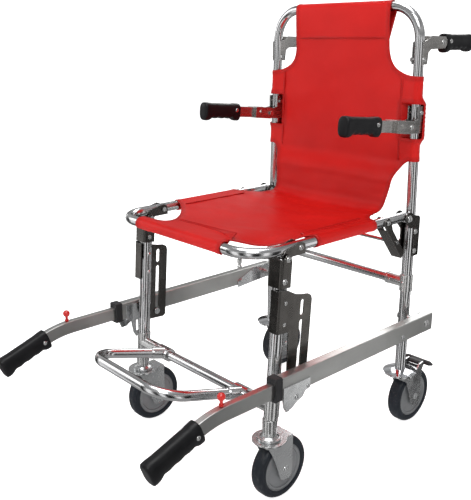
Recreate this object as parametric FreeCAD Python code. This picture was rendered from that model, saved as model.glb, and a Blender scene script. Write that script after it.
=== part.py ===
import FreeCAD
import Part
import math
import os

os.makedirs("parts", exist_ok=True)

# Folding stair chair. Millimetres. +Z up, the sitter faces -Y, +X is the sitter's left.
# Sizes below are laid out with y = 0 on the rear legs. Every part is moved by CENTRE_Y when
# it is written, which puts the middle of the whole object's length on y = 0.
CENTRE_Y = 272.88

# Rear frame
LEG_X = 202.0
LEG_R = 11.5
LEG_WALL = 1.45
LEG_BOTTOM = 140.0
LEG_TOP = 466.0
TUBE_R = 10.0
TUBE_WALL = 1.5
BACK_FOOT_Z = 398.0
BACK_KINK_Z = 480.0
BACK_TOP_X = 192.5
BACK_TOP_Z = 909.0
BACK_BEND = 65.0
CROSSBAR_Z = 343.0

# Seat
SEAT_Z = 492.0
SEAT_FRONT_Y = -458.0
SEAT_BEND = 58.0
SEAT_PIVOT = (-24.0, 489.0)
SEAT_PIN_R = 4.0
PROP_PIVOT = (-95.0, SEAT_Z)
STUD_X = 164.0

# Front legs
FRONT_PIVOT = (-388.0, 478.0)
FRONT_LEAN = 4.0
FRONT_FOOT_Y = -413.0
FRONT_LEG_R = 12.5
FRONT_BAR_Y = -408.7
FRONT_BAR_Z = 193.0

# Lower rails and their telescoping handles
RAIL_PIVOT = (4.0, 262.0)
RAIL_SLOT_PIN = (-360.0, 251.0)
RAIL_X0 = 237.0
RAIL_X1 = 257.0
RAIL_Z0 = 243.0
RAIL_Z1 = 281.0
RAIL_FRONT_Y = -440.0
RAIL_REAR_Y = 26.0
RAIL_WALL = 1.8
BAR_X0 = 240.0
BAR_X1 = 254.0
BAR_Z = 260.0
BAR_HALF = 13.5
BAR_BACK_Y = -230.0
BAR_BEND_Y = -560.0
BAR_BEND_R = 200.0
BAR_DROP = 20.0
BAR_TAIL = 84.0
KNOB_Y = -571.0

# Footrest
FOOTREST_X = 122.0
FOOTREST_Y = -595.0
FOOTREST_Z = 248.5
FOOTREST_BEND = 55.0

# Carry handles
LOW_PIVOT = (-34.0, 677.0)
LOW_TILT = 4.8
HIGH_PIVOT = (65.0, 839.0)
HANDLE_PIN_R = 3.5

# Casters
WHEEL_R = 62.5
TYRE_HALF = 14.5
REAR_TRAIL = 40.0
FRONT_TRAIL = 26.0
AXLE_R = 4.0
DECK_LOW = 128.0
DECK_TOP = 131.0
FORK_IN = 16.8
FORK_OUT = 19.5
BRAKE_BACK = 20.0
BRAKE_Z = 136.0

# Fabric
CLOTH_GAP = 0.35
CLOTH = 1.5

RUN = 0.06


def vec(x, y, z):
    return FreeCAD.Vector(x, y, z)


def box(x0, x1, y0, y1, z0, z1):
    return Part.makeBox(x1 - x0, y1 - y0, z1 - z0, vec(x0, y0, z0))


def rod(p0, p1, r):
    a = vec(*p0)
    b = vec(*p1)
    return Part.makeCylinder(r, (b - a).Length, a, b - a)


def cross_rod(x0, x1, y, z, r):
    return rod((x0, y, z), (x1, y, z), r)


def fuse(shapes):
    out = shapes[0]
    if len(shapes) > 1:
        out = out.multiFuse(shapes[1:])
    return out.removeSplitter()


def drill(shape, p0, p1, r):
    return shape.cut(rod(p0, p1, r))


def drill_x(shape, y, z, r, x0=-300.0, x1=300.0):
    return shape.cut(cross_rod(x0, x1, y, z, r))


def mirrored(shape):
    return shape.mirror(vec(0, 0, 0), vec(1, 0, 0))


def both(shape):
    return [shape, mirrored(shape)]


def turned(shape, y, z, degrees):
    """The shape turned about the +X line through (y, z)."""
    out = shape.copy()
    out.rotate(vec(0, y, z), vec(1, 0, 0), degrees)
    return out


def moved(shape, x, y, z):
    out = shape.copy()
    out.translate(vec(x, y, z))
    return out


def polygon_yz(points, x):
    corners = [vec(x, p[0], p[1]) for p in points]
    corners.append(corners[0])
    return Part.Face(Part.makePolygon(corners))


def plate_x(points, x0, x1):
    return polygon_yz(points, x0).extrude(vec(x1 - x0, 0, 0))


def plate_y(points, y0, y1):
    corners = [vec(p[0], y0, p[1]) for p in points]
    corners.append(corners[0])
    return Part.Face(Part.makePolygon(corners)).extrude(vec(0, y1 - y0, 0))


def plate_z(points, z0, z1):
    corners = [vec(p[0], p[1], z0) for p in points]
    corners.append(corners[0])
    return Part.Face(Part.makePolygon(corners)).extrude(vec(0, 0, z1 - z0))


def soften(shape, radius, keep):
    """Round the kept edges, with a smaller radius where the full one does not fit."""
    edges = [e for e in shape.Edges if keep(e)]
    for r in (radius, radius * 0.6, radius * 0.3):
        try:
            out = shape.makeFillet(r, edges)
            if out.isValid() and out.Volume > 0:
                return out
        except Exception:
            continue
    return shape


def route(points, bends):
    """Centre line through the corner points, with one bend radius for each corner."""
    edges = []
    start = vec(*points[0])
    for i in range(1, len(points) - 1):
        before = vec(*points[i - 1])
        corner = vec(*points[i])
        after = vec(*points[i + 1])
        back = (before - corner).normalize()
        ahead = (after - corner).normalize()
        half = back.getAngle(ahead) / 2.0
        reach = bends[i - 1] / math.tan(half)
        p1 = corner + back * reach
        p2 = corner + ahead * reach
        bisector = (back + ahead).normalize()
        centre = corner + bisector * (bends[i - 1] / math.sin(half))
        middle = centre - bisector * bends[i - 1]
        edges.append(Part.makeLine(start, p1))
        edges.append(Part.Arc(p1, middle, p2).toShape())
        start = p2
    edges.append(Part.makeLine(start, vec(*points[-1])))
    return Part.Wire(edges)


def bar_along(points, bends, r):
    path = route(points, bends)
    a = vec(*points[0])
    b = vec(*points[1])
    ring = Part.Wire([Part.makeCircle(r, a, b - a)])
    return path.makePipeShell([ring], True, False)


def tube_along(points, bends, r, wall):
    return bar_along(points, bends, r).cut(bar_along(points, bends, r - wall))


def hexagon_x(x0, x1, y, z, across):
    r = across / math.sqrt(3.0)
    points = []
    for i in range(6):
        a = math.radians(60 * i + 30)
        points.append((y + r * math.cos(a), z + r * math.sin(a)))
    return plate_x(points, x0, x1)


def cap(point, direction, r, h):
    """Spherical cap standing on a flat surface at the point."""
    ball = (r * r + h * h) / (2.0 * h)
    lean = math.asin(r / ball) / 2.0
    middle = vec(ball * math.sin(lean), 0, h - ball + ball * math.cos(lean))
    edges = [
        Part.makeLine(vec(0, 0, 0), vec(r, 0, 0)),
        Part.Arc(vec(r, 0, 0), middle, vec(0, 0, h)).toShape(),
        Part.makeLine(vec(0, 0, h), vec(0, 0, 0)),
    ]
    dome = Part.Face(Part.Wire(edges)).revolve(vec(0, 0, 0), vec(0, 0, 1), 360)
    turn = FreeCAD.Rotation(vec(0, 0, 1), vec(*direction))
    dome.Placement = FreeCAD.Placement(vec(*point), turn)
    return dome


def bolt_x(x0, x1, y, z, r, head=10.0, nut=10.0):
    """Shank from x0 to x1 with a domed head past x1 and a hexagon nut past x0."""
    dome = cap((x1, y, z), (1, 0, 0), head * 0.6, head * 0.36)
    return fuse([cross_rod(x0 - 4.0, x1, y, z, r), dome, hexagon_x(x0 - 4.0, x0, y, z, nut)])


def rivet(point, direction, r, depth):
    """A domed head outside the surface and a short shank into it."""
    p = vec(*point)
    d = vec(*direction)
    head = cap(point, direction, r * 1.65, r * 0.9)
    return fuse([head, Part.makeCylinder(r, depth, p - d * depth, d)])


def column_x(z):
    if z < BACK_KINK_Z:
        return LEG_X
    return LEG_X + (BACK_TOP_X - LEG_X) * (z - BACK_KINK_Z) / (BACK_TOP_Z - BACK_KINK_Z)


def save(name, shapes):
    if not isinstance(shapes, list):
        shapes = [shapes]
    solids = []
    for shape in shapes:
        for solid in shape.Solids:
            solids.append(moved(solid, 0, CENTRE_Y, 0))
    out = solids[0] if len(solids) == 1 else Part.makeCompound(solids)
    out.exportStep("parts/" + name + ".step")


# ---------------------------------------------------------------- rear frame

BRACKET_BOLTS_Z = (416.0, 458.0)
LOW_CLAMP_Z = 703.0
HIGH_CLAMP_Z = 806.0

leg = rod((LEG_X, 0, LEG_BOTTOM), (LEG_X, 0, LEG_TOP), LEG_R)
leg = leg.cut(rod((LEG_X, 0, 0), (LEG_X, 0, 600), LEG_R - LEG_WALL))
for z in BRACKET_BOLTS_Z:
    leg = drill_x(leg, 0, z, 3.1)
leg = drill_x(leg, RAIL_PIVOT[0], RAIL_PIVOT[1], SEAT_PIN_R + 0.05)
for x in (166.0, LEG_X):
    leg = drill(leg, (x, -20, CROSSBAR_Z), (x, 0, CROSSBAR_Z), 2.05)
save("rear_leg_left", leg)
save("rear_leg_right", mirrored(leg))

back_points = [
    (LEG_X, 0, BACK_FOOT_Z),
    (LEG_X, 0, BACK_KINK_Z),
    (BACK_TOP_X, 0, BACK_TOP_Z),
    (-BACK_TOP_X, 0, BACK_TOP_Z),
    (-LEG_X, 0, BACK_KINK_Z),
    (-LEG_X, 0, BACK_FOOT_Z),
]
back_bends = [220.0, BACK_BEND, BACK_BEND, 220.0]
back = tube_along(back_points, back_bends, TUBE_R, TUBE_WALL)
for z in BRACKET_BOLTS_Z:
    back = drill_x(back, 0, z, 3.1)
for z in (LOW_CLAMP_Z, HIGH_CLAMP_Z):
    back = drill_x(back, 0, z, 3.1)
save("back_tube", back)

# Folded sheet channel that ties leg to back tube and carries the seat pivot.
BRACKET_IN = 11.8
BRACKET_OUT = 14.2
bracket_side = [
    (BRACKET_OUT, 405),
    (BRACKET_OUT, 486),
    (10, 491),
    (-10, 495),
    (-18, 502),
    (-24, 503),
    (-32, 500),
    (-36, 492),
    (-34, 484),
    (-28, 476),
    (-14.5, 462),
    (-14.5, 440),
    (-22, 434),
    (-22, 426),
    (-14.5, 420),
    (-14.5, 405),
]
bracket = plate_x(bracket_side, LEG_X - BRACKET_OUT, LEG_X + BRACKET_OUT)
bracket = bracket.cut(box(LEG_X - BRACKET_IN, LEG_X + BRACKET_IN, -60, BRACKET_IN, 300, 600))
bracket = bracket.cut(box(LEG_X, LEG_X + 20, -60, -5, 300, 468))
for z in BRACKET_BOLTS_Z:
    bracket = drill_x(bracket, 0, z, 3.1)
bracket = drill_x(bracket, SEAT_PIVOT[0], SEAT_PIVOT[1], SEAT_PIN_R + 0.05)
save("rear_hinge_brackets", both(bracket))

crossbar = rod((-172, 0, CROSSBAR_Z), (172, 0, CROSSBAR_Z), TUBE_R)
crossbar = crossbar.cut(rod((-180, 0, CROSSBAR_Z), (180, 0, CROSSBAR_Z), TUBE_R - TUBE_WALL))
for x in (-166.0, 166.0):
    crossbar = drill(crossbar, (x, -20, CROSSBAR_Z), (x, 0, CROSSBAR_Z), 2.05)
save("rear_crossbar", crossbar)

tee = fuse([
    rod((LEG_X, 0, 324), (LEG_X, 0, 361), 13.8),
    rod((LEG_X, 0, CROSSBAR_Z), (154, 0, CROSSBAR_Z), 12.8),
    rod((154, 0, CROSSBAR_Z), (158, 0, CROSSBAR_Z), 13.4),
])
tee = tee.cut(rod((LEG_X, 0, 300), (LEG_X, 0, 380), LEG_R + 0.05))
tee = tee.cut(rod((173, 0, CROSSBAR_Z), (140, 0, CROSSBAR_Z), TUBE_R + 0.05))
for x in (166.0, LEG_X):
    tee = drill(tee, (x, -20, CROSSBAR_Z), (x, 0, CROSSBAR_Z), 2.05)
save("rear_tee_collars", both(tee))

# Clamps on the back tube that carry the four lifting handles.
CLAMP_IN = 10.9
CLAMP_OUT = 13.1
low_x = column_x(690.0)
low_side = [
    (12.9, 663), (12.9, 716), (-10.5, 716), (-10.5, 690), (-30, 687.5), (-40, 686), (-46, 681),
    (-46, 673), (-40, 666), (-30, 664.5), (-10.5, 663),
]
low_clamp = plate_x(low_side, low_x - CLAMP_OUT, low_x + CLAMP_OUT)
low_clamp = low_clamp.cut(box(low_x - CLAMP_IN, low_x + CLAMP_IN, -60, 10.7, 600, 800))
low_clamp = drill_x(low_clamp, 0, LOW_CLAMP_Z, 3.1)
low_clamp = drill_x(low_clamp, LOW_PIVOT[0], LOW_PIVOT[1], HANDLE_PIN_R + 0.05)
save("lower_handle_brackets", both(low_clamp))

high_x = column_x(825.0)
high_side = [
    (-5, 797), (11, 797), (13.5, 820), (22, 826), (70, 827.5), (77, 833), (78, 839), (77, 845),
    (70, 850.5), (22, 852), (13.5, 846), (-5, 840),
]
high_clamp = plate_x(high_side, high_x - CLAMP_OUT, high_x + CLAMP_OUT)
high_clamp = high_clamp.cut(box(high_x - CLAMP_IN, high_x + CLAMP_IN, -60, 200, 700, 900))
rest = box(high_x - CLAMP_OUT, high_x + CLAMP_OUT, 10.9, 13.3, 820, 846)
high_clamp = fuse([high_clamp, rest])
high_clamp = drill_x(high_clamp, 0, HIGH_CLAMP_Z, 3.1)
high_clamp = drill_x(high_clamp, HIGH_PIVOT[0], HIGH_PIVOT[1], HANDLE_PIN_R + 0.05)
save("upper_handle_brackets", both(high_clamp))

frame_fasteners = []
for z in BRACKET_BOLTS_Z:
    frame_fasteners += both(bolt_x(LEG_X - BRACKET_OUT, LEG_X + BRACKET_OUT, 0, z, 3.0))
seat_bolt = bolt_x(LEG_X - BRACKET_OUT, LEG_X + BRACKET_OUT, SEAT_PIVOT[0], SEAT_PIVOT[1],
                   SEAT_PIN_R, 13.0, 13.0)
frame_fasteners += both(seat_bolt)
low_bolt_in = low_x - 15.6
low_bolt_out = low_x + 15.6
frame_fasteners += both(bolt_x(low_bolt_in, low_bolt_out, LOW_PIVOT[0], LOW_PIVOT[1],
                               HANDLE_PIN_R, 10.0, 10.0))
frame_fasteners += both(bolt_x(low_x - CLAMP_OUT, low_x + CLAMP_OUT, 0, LOW_CLAMP_Z, 3.0, 9.0, 9.0))
frame_fasteners += both(bolt_x(high_x - CLAMP_OUT, high_x + CLAMP_OUT, 0, HIGH_CLAMP_Z, 3.0, 9.0, 9.0))
frame_fasteners += both(bolt_x(high_x - CLAMP_OUT, high_x + CLAMP_OUT, HIGH_PIVOT[0],
                               HIGH_PIVOT[1], HANDLE_PIN_R, 10.0, 10.0))
rail_bolt = bolt_x(LEG_X - LEG_R, RAIL_X1 + 0.3, RAIL_PIVOT[0], RAIL_PIVOT[1], SEAT_PIN_R, 13.0, 13.0)
rail_spacer = cross_rod(LEG_X + LEG_R - 0.8, RAIL_X0 - 3.0, RAIL_PIVOT[0], RAIL_PIVOT[1], 8.0)
leg_core = rod((LEG_X, 0, 200), (LEG_X, 0, 330), LEG_R + 0.05)
rail_spacer = rail_spacer.cut(leg_core)
frame_fasteners += both(fuse([rail_bolt, rail_spacer]))
frame_fasteners += both(rivet((166.0, -12.85, CROSSBAR_Z), (0, -1, 0), 2.0, 5.0))
frame_fasteners += both(rivet((LEG_X, -13.85, CROSSBAR_Z), (0, -1, 0), 2.0, 5.0))
save("frame_fasteners", frame_fasteners)

# ---------------------------------------------------------------- cloth

in_r = TUBE_R + CLOTH_GAP
out_r = in_r + CLOTH


def sleeve(p0, p1):
    return rod(p0, p1, out_r).cut(rod(p0, p1, in_r))


def back_outline(side):
    pts = [(0, 536), (163, 536), (165, 548), (168, 562), (173, 576), (180, 588), (188, 597),
           (198, 603), (211, 604)]
    pts += [(211, 650), (183, 650), (183, 722), (211, 722), (209, 774), (176, 775.5), (160, 780),
            (146, 790.5), (135, 804), (130, 822), (128, 840), (128, 909), (0, 909)]
    return [(side * p[0], p[1]) for p in pts]


left_sheet = plate_y(back_outline(1), -out_r, -in_r)
right_sheet = plate_y(back_outline(-1), -out_r, -in_r)
foot = (column_x(605.0), 0, 605.0)
head = (column_x(773.0), 0, 773.0)
low_end = (column_x(650.0), 0, 650.0)
high_end = (column_x(722.0), 0, 722.0)
sleeves = both(sleeve(foot, low_end)) + both(sleeve(high_end, head))
top_sleeve = sleeve((-128, 0, BACK_TOP_Z), (128, 0, BACK_TOP_Z))
back_panel = fuse([left_sheet, right_sheet, top_sleeve] + sleeves)
back_cut = bar_along(back_points, back_bends, in_r)
back_panel = back_panel.cut(back_cut)
save("back_panel", back_panel)


def seat_outline(side):
    pts = [(0, -66), (157, -66), (160, -76), (166, -89), (174, -102), (184, -116), (202, -132),
           (202, -305), (190, -308), (150, -345), (132, -362), (100, -400), (85, -425),
           (90, -441), (130, -449), (130, -458), (0, -458)]
    return [(side * p[0], p[1]) for p in pts]


seat_top = SEAT_Z + out_r
seat_low = SEAT_Z + in_r
seat_sheets = [plate_z(seat_outline(1), seat_low, seat_top), plate_z(seat_outline(-1), seat_low, seat_top)]
side_sleeves = both(sleeve((LEG_X, -305, SEAT_Z), (LEG_X, -132, SEAT_Z)))
front_sleeve = sleeve((-130, SEAT_FRONT_Y, SEAT_Z), (130, SEAT_FRONT_Y, SEAT_Z))
seat_panel = fuse(seat_sheets + side_sleeves + [front_sleeve])
save("seat_panel", seat_panel)

# ---------------------------------------------------------------- seat frame

seat_points = [
    (LEG_X, -44, SEAT_Z),
    (LEG_X, SEAT_FRONT_Y, SEAT_Z),
    (-LEG_X, SEAT_FRONT_Y, SEAT_Z),
    (-LEG_X, -44, SEAT_Z),
]
seat_tube = tube_along(seat_points, [SEAT_BEND, SEAT_BEND], TUBE_R, TUBE_WALL)
eye = fuse([
    rod((LEG_X, -60, SEAT_Z), (LEG_X, -24, SEAT_Z), TUBE_R - 0.7),
    cross_rod(LEG_X - 9.0, LEG_X + 9.0, SEAT_PIVOT[0], SEAT_PIVOT[1], 9.6),
    rod((LEG_X, -44, SEAT_Z), (LEG_X, -30, SEAT_Z), TUBE_R),
])
seat_tube = fuse([seat_tube] + both(eye))
seat_tube = drill_x(seat_tube, SEAT_PIVOT[0], SEAT_PIVOT[1], SEAT_PIN_R + RUN)
seat_tube = drill_x(seat_tube, PROP_PIVOT[0], PROP_PIVOT[1], 3.05)
seat_tube = drill_x(seat_tube, -352, SEAT_Z, 3.05)
# The stud hangs from the bend of the seat's left front corner.
bend_run = STUD_X - (LEG_X - SEAT_BEND)
stud_y = SEAT_FRONT_Y + SEAT_BEND - math.sqrt(SEAT_BEND ** 2 - bend_run ** 2)
seat_tube = drill(seat_tube, (STUD_X, stud_y, 470), (STUD_X, stud_y, SEAT_Z), 2.55)
save("seat_tube", seat_tube)

saddle_side = [
    (-399, 472), (-399, 486), (-392, 494), (-352, 503), (-343, 499), (-341, 492), (-341, 479.6),
    (-376, 479.6), (-379, 472), (-384, 470), (-392, 470),
]
saddle = plate_x(saddle_side, LEG_X - 12.6, LEG_X + 12.6)
saddle = saddle.cut(box(LEG_X - 10.3, LEG_X + 10.3, -500, -300, 481.9, 520))
saddle = saddle.cut(box(LEG_X - 10.3, LEG_X + 10.3, -500, -376, 400, 520))
saddle = drill_x(saddle, -352, SEAT_Z, 3.05)
saddle = drill_x(saddle, FRONT_PIVOT[0], FRONT_PIVOT[1], HANDLE_PIN_R + RUN)
save("front_hinge_saddles", both(saddle))

stud = fuse([
    rod((STUD_X, stud_y, 468), (STUD_X, stud_y, 488), 2.5),
    rod((STUD_X, stud_y, 474), (STUD_X, stud_y, 480.5), 4.0),
    Part.makeSphere(4.0, vec(STUD_X, stud_y, 467)),
])
seat_fasteners = [stud]
seat_fasteners += both(bolt_x(LEG_X - 12.6, LEG_X + 12.6, -352, SEAT_Z, 3.0, 9.0, 9.0))
seat_fasteners += both(bolt_x(LEG_X - 12.9, LEG_X + 12.9, PROP_PIVOT[0], PROP_PIVOT[1], 3.0, 9.0, 9.0))
save("seat_fasteners", seat_fasteners)

# Prop braces that hold the seat level, joined by the release rod.
PROP_ANGLE = math.degrees(math.atan2(-88.0, 71.0))


def on_prop(shape):
    """From brace coordinates (pivot at the origin, brace along +Y) to the chair."""
    out = shape.copy()
    out.rotate(vec(0, 0, 0), vec(1, 0, 0), PROP_ANGLE)
    out.translate(vec(0, PROP_PIVOT[0], PROP_PIVOT[1]))
    return out


prop_side = [(-9, 5), (-9, -8), (-4, -12.4), (98, -12.4), (98, -4), (92, 2), (24, 2), (8, 8), (-5, 8)]
prop = plate_x(prop_side, LEG_X - 12.4, LEG_X + 12.4)
prop = prop.cut(box(LEG_X - 10.4, LEG_X + 10.4, -20, 12, -30, 30))
prop = prop.cut(box(LEG_X - 10.4, LEG_X + 10.4, -20, 130, -10.4, 30))
prop = drill_x(prop, 0, 0, 3.0 + RUN)
prop = drill_x(prop, 56, -4, 4.05)
dog = box(LEG_X - 4, LEG_X + 4, 80, 95, -10.6, 4)
prop = fuse([prop, dog])
save("prop_braces", both(on_prop(prop)))

release = rod((-LEG_X - 15, 56, -4), (LEG_X + 15, 56, -4), 4.0)
save("release_rod", on_prop(release))

# ---------------------------------------------------------------- front legs


def on_leg(shape):
    """From leg coordinates (pivot at the origin, leg straight down) to the chair."""
    out = shape.copy()
    out.rotate(vec(0, 0, 0), vec(1, 0, 0), -FRONT_LEAN)
    out.translate(vec(0, FRONT_PIVOT[0], FRONT_PIVOT[1]))
    return out


FRONT_FOOT = -330.0
front_leg = rod((LEG_X, 0, FRONT_FOOT), (LEG_X, 0, -50), FRONT_LEG_R)
front_leg = front_leg.cut(rod((LEG_X, 0, -400), (LEG_X, 0, 0), FRONT_LEG_R - 1.6))
tongue = box(LEG_X - 14.4, LEG_X + 14.4, -12.4, -1.0, -52, -16)
core = box(LEG_X - 8.0, LEG_X + 8.0, -11.6, -1.0, -90, -50)
front_leg = fuse([front_leg, tongue, core])
front_leg = drill_x(front_leg, -6, -40, 3.1)
for z in (-80.0, -120.0):
    front_leg = drill_x(front_leg, 0, z, 2.6)
front_leg = on_leg(front_leg)
save("front_leg_left", front_leg)
save("front_leg_right", mirrored(front_leg))

channel_side = [(-17, -52), (9, -52), (9, -6), (6, 6), (0, 9), (-6, 8), (-11, 1), (-17, 0)]
channel = plate_x(channel_side, LEG_X - 17, LEG_X + 17)
channel = channel.cut(box(LEG_X - 14.6, LEG_X + 14.6, -14.6, 40, -80, 40))
channel = soften(channel, 4.5, lambda e: e.BoundBox.ZLength > 40 and e.BoundBox.YMax < -16.9)
channel = drill_x(channel, -6, -40, 3.1)
channel = drill_x(channel, 0, 0, HANDLE_PIN_R + 0.05)
save("front_hinge_channels", both(on_leg(channel)))

pin_y = RAIL_SLOT_PIN[0] - FRONT_PIVOT[0]
pin_z = RAIL_SLOT_PIN[1] - FRONT_PIVOT[1]
lean = math.radians(FRONT_LEAN)
slot_y = pin_y * math.cos(lean) - pin_z * math.sin(lean)
slot_low = pin_y * math.sin(lean) + pin_z * math.cos(lean)
plate_side = [
    (-17, -54), (4, -57), (26, -67), (44, -70), (58, -71), (66, -75), (69, -83), (69, -236),
    (64, -241), (24, -241), (16, -226), (12, -136), (-17, -136),
]
plate = plate_x(plate_side, LEG_X + 14.8, LEG_X + 17.2)


def slot(z0, z1, half):
    """Cutter for an upright round-ended slot in the side plate."""
    return fuse([
        cross_rod(200, 240, slot_y, z0, half),
        cross_rod(200, 240, slot_y, z1, half),
        box(200, 240, slot_y - half, slot_y + half, z0, z1),
    ])


plate = plate.cut(slot(slot_low, -122.0, 4.5))
plate = plate.cut(slot(-105.0, -84.0, 4.5))
plate = soften(plate, 6.0, lambda e: abs(e.Length - 2.4) < 0.01 and e.CenterOfMass.y > 60)
# The sheet folds round the front of the leg and stays open on the inner side.
WRAP_IN = LEG_X - 4.5
wrap = box(WRAP_IN, LEG_X + 17.2, -17.2, -14.8, -136, -57)
slotted = fuse([plate, wrap])
slotted = soften(slotted, 3.0, lambda e: e.BoundBox.ZLength > 40 and e.BoundBox.YMax < -17.1
                 and e.BoundBox.XMin > LEG_X + 17)
for z in (-80.0, -120.0):
    slotted = drill_x(slotted, 0, z, 2.6)
save("slotted_plates", both(on_leg(slotted)))

socket = fuse([
    rod((LEG_X, FRONT_FOOT_Y, 139), (LEG_X, FRONT_FOOT_Y, 171), 13.6),
    on_leg(rod((LEG_X, 0, -303), (LEG_X, 0, -262), 14.2)),
    on_leg(rod((LEG_X, 0, -312), (LEG_X, 0, -300), 13.0)),
    rod((LEG_X, FRONT_BAR_Y, FRONT_BAR_Z), (152, FRONT_BAR_Y, FRONT_BAR_Z), 12.6),
])
socket = socket.cut(on_leg(rod((LEG_X, 0, FRONT_FOOT), (LEG_X, 0, -200), FRONT_LEG_R + 0.05)))
socket = socket.cut(rod((176, FRONT_BAR_Y, FRONT_BAR_Z), (140, FRONT_BAR_Y, FRONT_BAR_Z), TUBE_R + 0.05))
socket = socket.cut(rod((LEG_X, FRONT_FOOT_Y, 120), (LEG_X, FRONT_FOOT_Y, 147), 6.05))
save("front_leg_sockets", both(socket))

front_bar = rod((-175, FRONT_BAR_Y, FRONT_BAR_Z), (175, FRONT_BAR_Y, FRONT_BAR_Z), TUBE_R)
front_bar = front_bar.cut(rod((-180, FRONT_BAR_Y, FRONT_BAR_Z), (180, FRONT_BAR_Y, FRONT_BAR_Z), 8.5))
save("front_crossbar", front_bar)

leg_fasteners = []
hinge_pin = on_leg(bolt_x(LEG_X - 17, LEG_X + 17, 0, 0, HANDLE_PIN_R, 10.0, 10.0))
leg_fasteners += both(hinge_pin)
leg_fasteners += both(on_leg(bolt_x(LEG_X - 17, LEG_X + 17, -6, -40, 3.0, 10.0, 9.0)))
for z in (-80.0, -120.0):
    shank = cross_rod(LEG_X - 12.6, LEG_X + 17.2, 0, z, 2.5)
    heads = [rivet((LEG_X + 17.2, 0, z), (1, 0, 0), 2.5, 1.0)]
    heads.append(rivet((LEG_X - 12.6, 0, z), (-1, 0, 0), 2.5, 1.0))
    leg_fasteners += both(on_leg(fuse([shank] + heads)))
save("front_leg_fasteners", leg_fasteners)

# ---------------------------------------------------------------- footrest

foot_dir = math.atan2(FOOTREST_Z - FRONT_BAR_Z, FRONT_BAR_Y - FOOTREST_Y)
reach = 16.0
start_y = FRONT_BAR_Y - reach * math.cos(foot_dir)
start_z = FRONT_BAR_Z + reach * math.sin(foot_dir)
foot_points = [
    (FOOTREST_X, start_y, start_z),
    (FOOTREST_X, FOOTREST_Y, FOOTREST_Z),
    (-FOOTREST_X, FOOTREST_Y, FOOTREST_Z),
    (-FOOTREST_X, start_y, start_z),
]
foot_loop = tube_along(foot_points, [FOOTREST_BEND, FOOTREST_BEND], TUBE_R, TUBE_WALL)
sock_y = FRONT_BAR_Y - 40.0 * math.cos(foot_dir)
sock_z = FRONT_BAR_Z + 40.0 * math.sin(foot_dir)
tee_ring = fuse([
    rod((FOOTREST_X - 18, FRONT_BAR_Y, FRONT_BAR_Z), (FOOTREST_X + 18, FRONT_BAR_Y, FRONT_BAR_Z), 14.2),
    rod((FOOTREST_X, FRONT_BAR_Y, FRONT_BAR_Z), (FOOTREST_X, sock_y, sock_z), 12.4),
])
foot_loop = fuse([foot_loop] + both(tee_ring))
bar_bore = rod((-160, FRONT_BAR_Y, FRONT_BAR_Z), (160, FRONT_BAR_Y, FRONT_BAR_Z), TUBE_R + RUN)
foot_loop = foot_loop.cut(bar_bore)
save("footrest_loop", foot_loop)

# ---------------------------------------------------------------- rails

rail = box(RAIL_X0, RAIL_X1, RAIL_FRONT_Y, RAIL_REAR_Y, RAIL_Z0, RAIL_Z1)
rail = soften(rail, 2.5, lambda e: abs(e.Length - (RAIL_REAR_Y - RAIL_FRONT_Y)) < 0.01)
rail = rail.cut(box(RAIL_X0 + RAIL_WALL, RAIL_X1 - RAIL_WALL, RAIL_FRONT_Y - 1, RAIL_REAR_Y + 1,
                    RAIL_Z0 + RAIL_WALL, RAIL_Z1 - RAIL_WALL))
rail = drill_x(rail, RAIL_PIVOT[0], RAIL_PIVOT[1], SEAT_PIN_R + RUN)
rail = drill_x(rail, -80, 254, 3.1)
rail = drill_x(rail, RAIL_SLOT_PIN[0], RAIL_SLOT_PIN[1], 3.05, 200, 250)
save("rail_tube_left", rail)
save("rail_tube_right", mirrored(rail))

hinge_side = [(-90, 238), (-90, 254), (-84, 259), (-30, 280), (12, 280), (20, 270), (20, 246), (-70, 240)]
hinge_plate = plate_x(hinge_side, RAIL_X0 - 2.4, RAIL_X0 - 0.02)
hinge_plate = drill_x(hinge_plate, RAIL_PIVOT[0], RAIL_PIVOT[1], SEAT_PIN_R + RUN)
hinge_bolt = bolt_x(RAIL_X0 - 2.4, RAIL_X1, -80, 254, 3.0, 9.0, 9.0)
hinge_plate = drill_x(hinge_plate, -80, 254, 3.1)
rail_pin = fuse([
    cross_rod(214.4, RAIL_X0, RAIL_SLOT_PIN[0], RAIL_SLOT_PIN[1], 4.0),
    cross_rod(213.4, 215.9, RAIL_SLOT_PIN[0], RAIL_SLOT_PIN[1], 7.0),
    cross_rod(223.0, RAIL_X0 - 0.02, RAIL_SLOT_PIN[0], RAIL_SLOT_PIN[1], 6.5),
    cross_rod(236.0, 238.7, RAIL_SLOT_PIN[0], RAIL_SLOT_PIN[1], 3.0),
])
tab_out = plate_x([(-437, 262), (-437, 236), (-429, 216), (-416, 217), (-402, 226), (-388, 231),
                   (-381, 240), (-368, 243), (-368, 262)], RAIL_X1 + 0.02, RAIL_X1 + 2.4)
tab_in = plate_x([(-430, 276), (-430, 241), (-417, 235), (-412, 206), (-406, 196), (-398, 196),
                  (-392, 206), (-389, 235), (-386, 241), (-386, 276)], RAIL_X0 - 2.4, RAIL_X0 - 0.02)
tab_in = tab_in.cut(fuse([
    cross_rod(220, 245, -402, 212, 3.2),
    cross_rod(220, 245, -402, 232, 3.2),
    box(220, 245, -405.2, -398.8, 212, 232),
]))
tab_floor = box(RAIL_X0 - 2.4, RAIL_X1 + 2.4, -428, -388, RAIL_Z0 - 2.4, RAIL_Z0 - 0.02)
front_tab = fuse([tab_out, tab_in, tab_floor])
tab_bolt = bolt_x(RAIL_X1 - 6.0, RAIL_X1 + 2.4, -404.5, 236, 3.0, 10.0, 8.0)
front_tab = front_tab.cut(cross_rod(248, 262, -404.5, 236, 3.05))
front_tab = front_tab.cut(cross_rod(RAIL_X1 - 11, RAIL_X1 - 1, -404.5, 236, 5.6))
small_rivet = rivet((RAIL_X1 + 2.4, -374, 247), (1, 0, 0), 2.4, 2.3)
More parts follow.
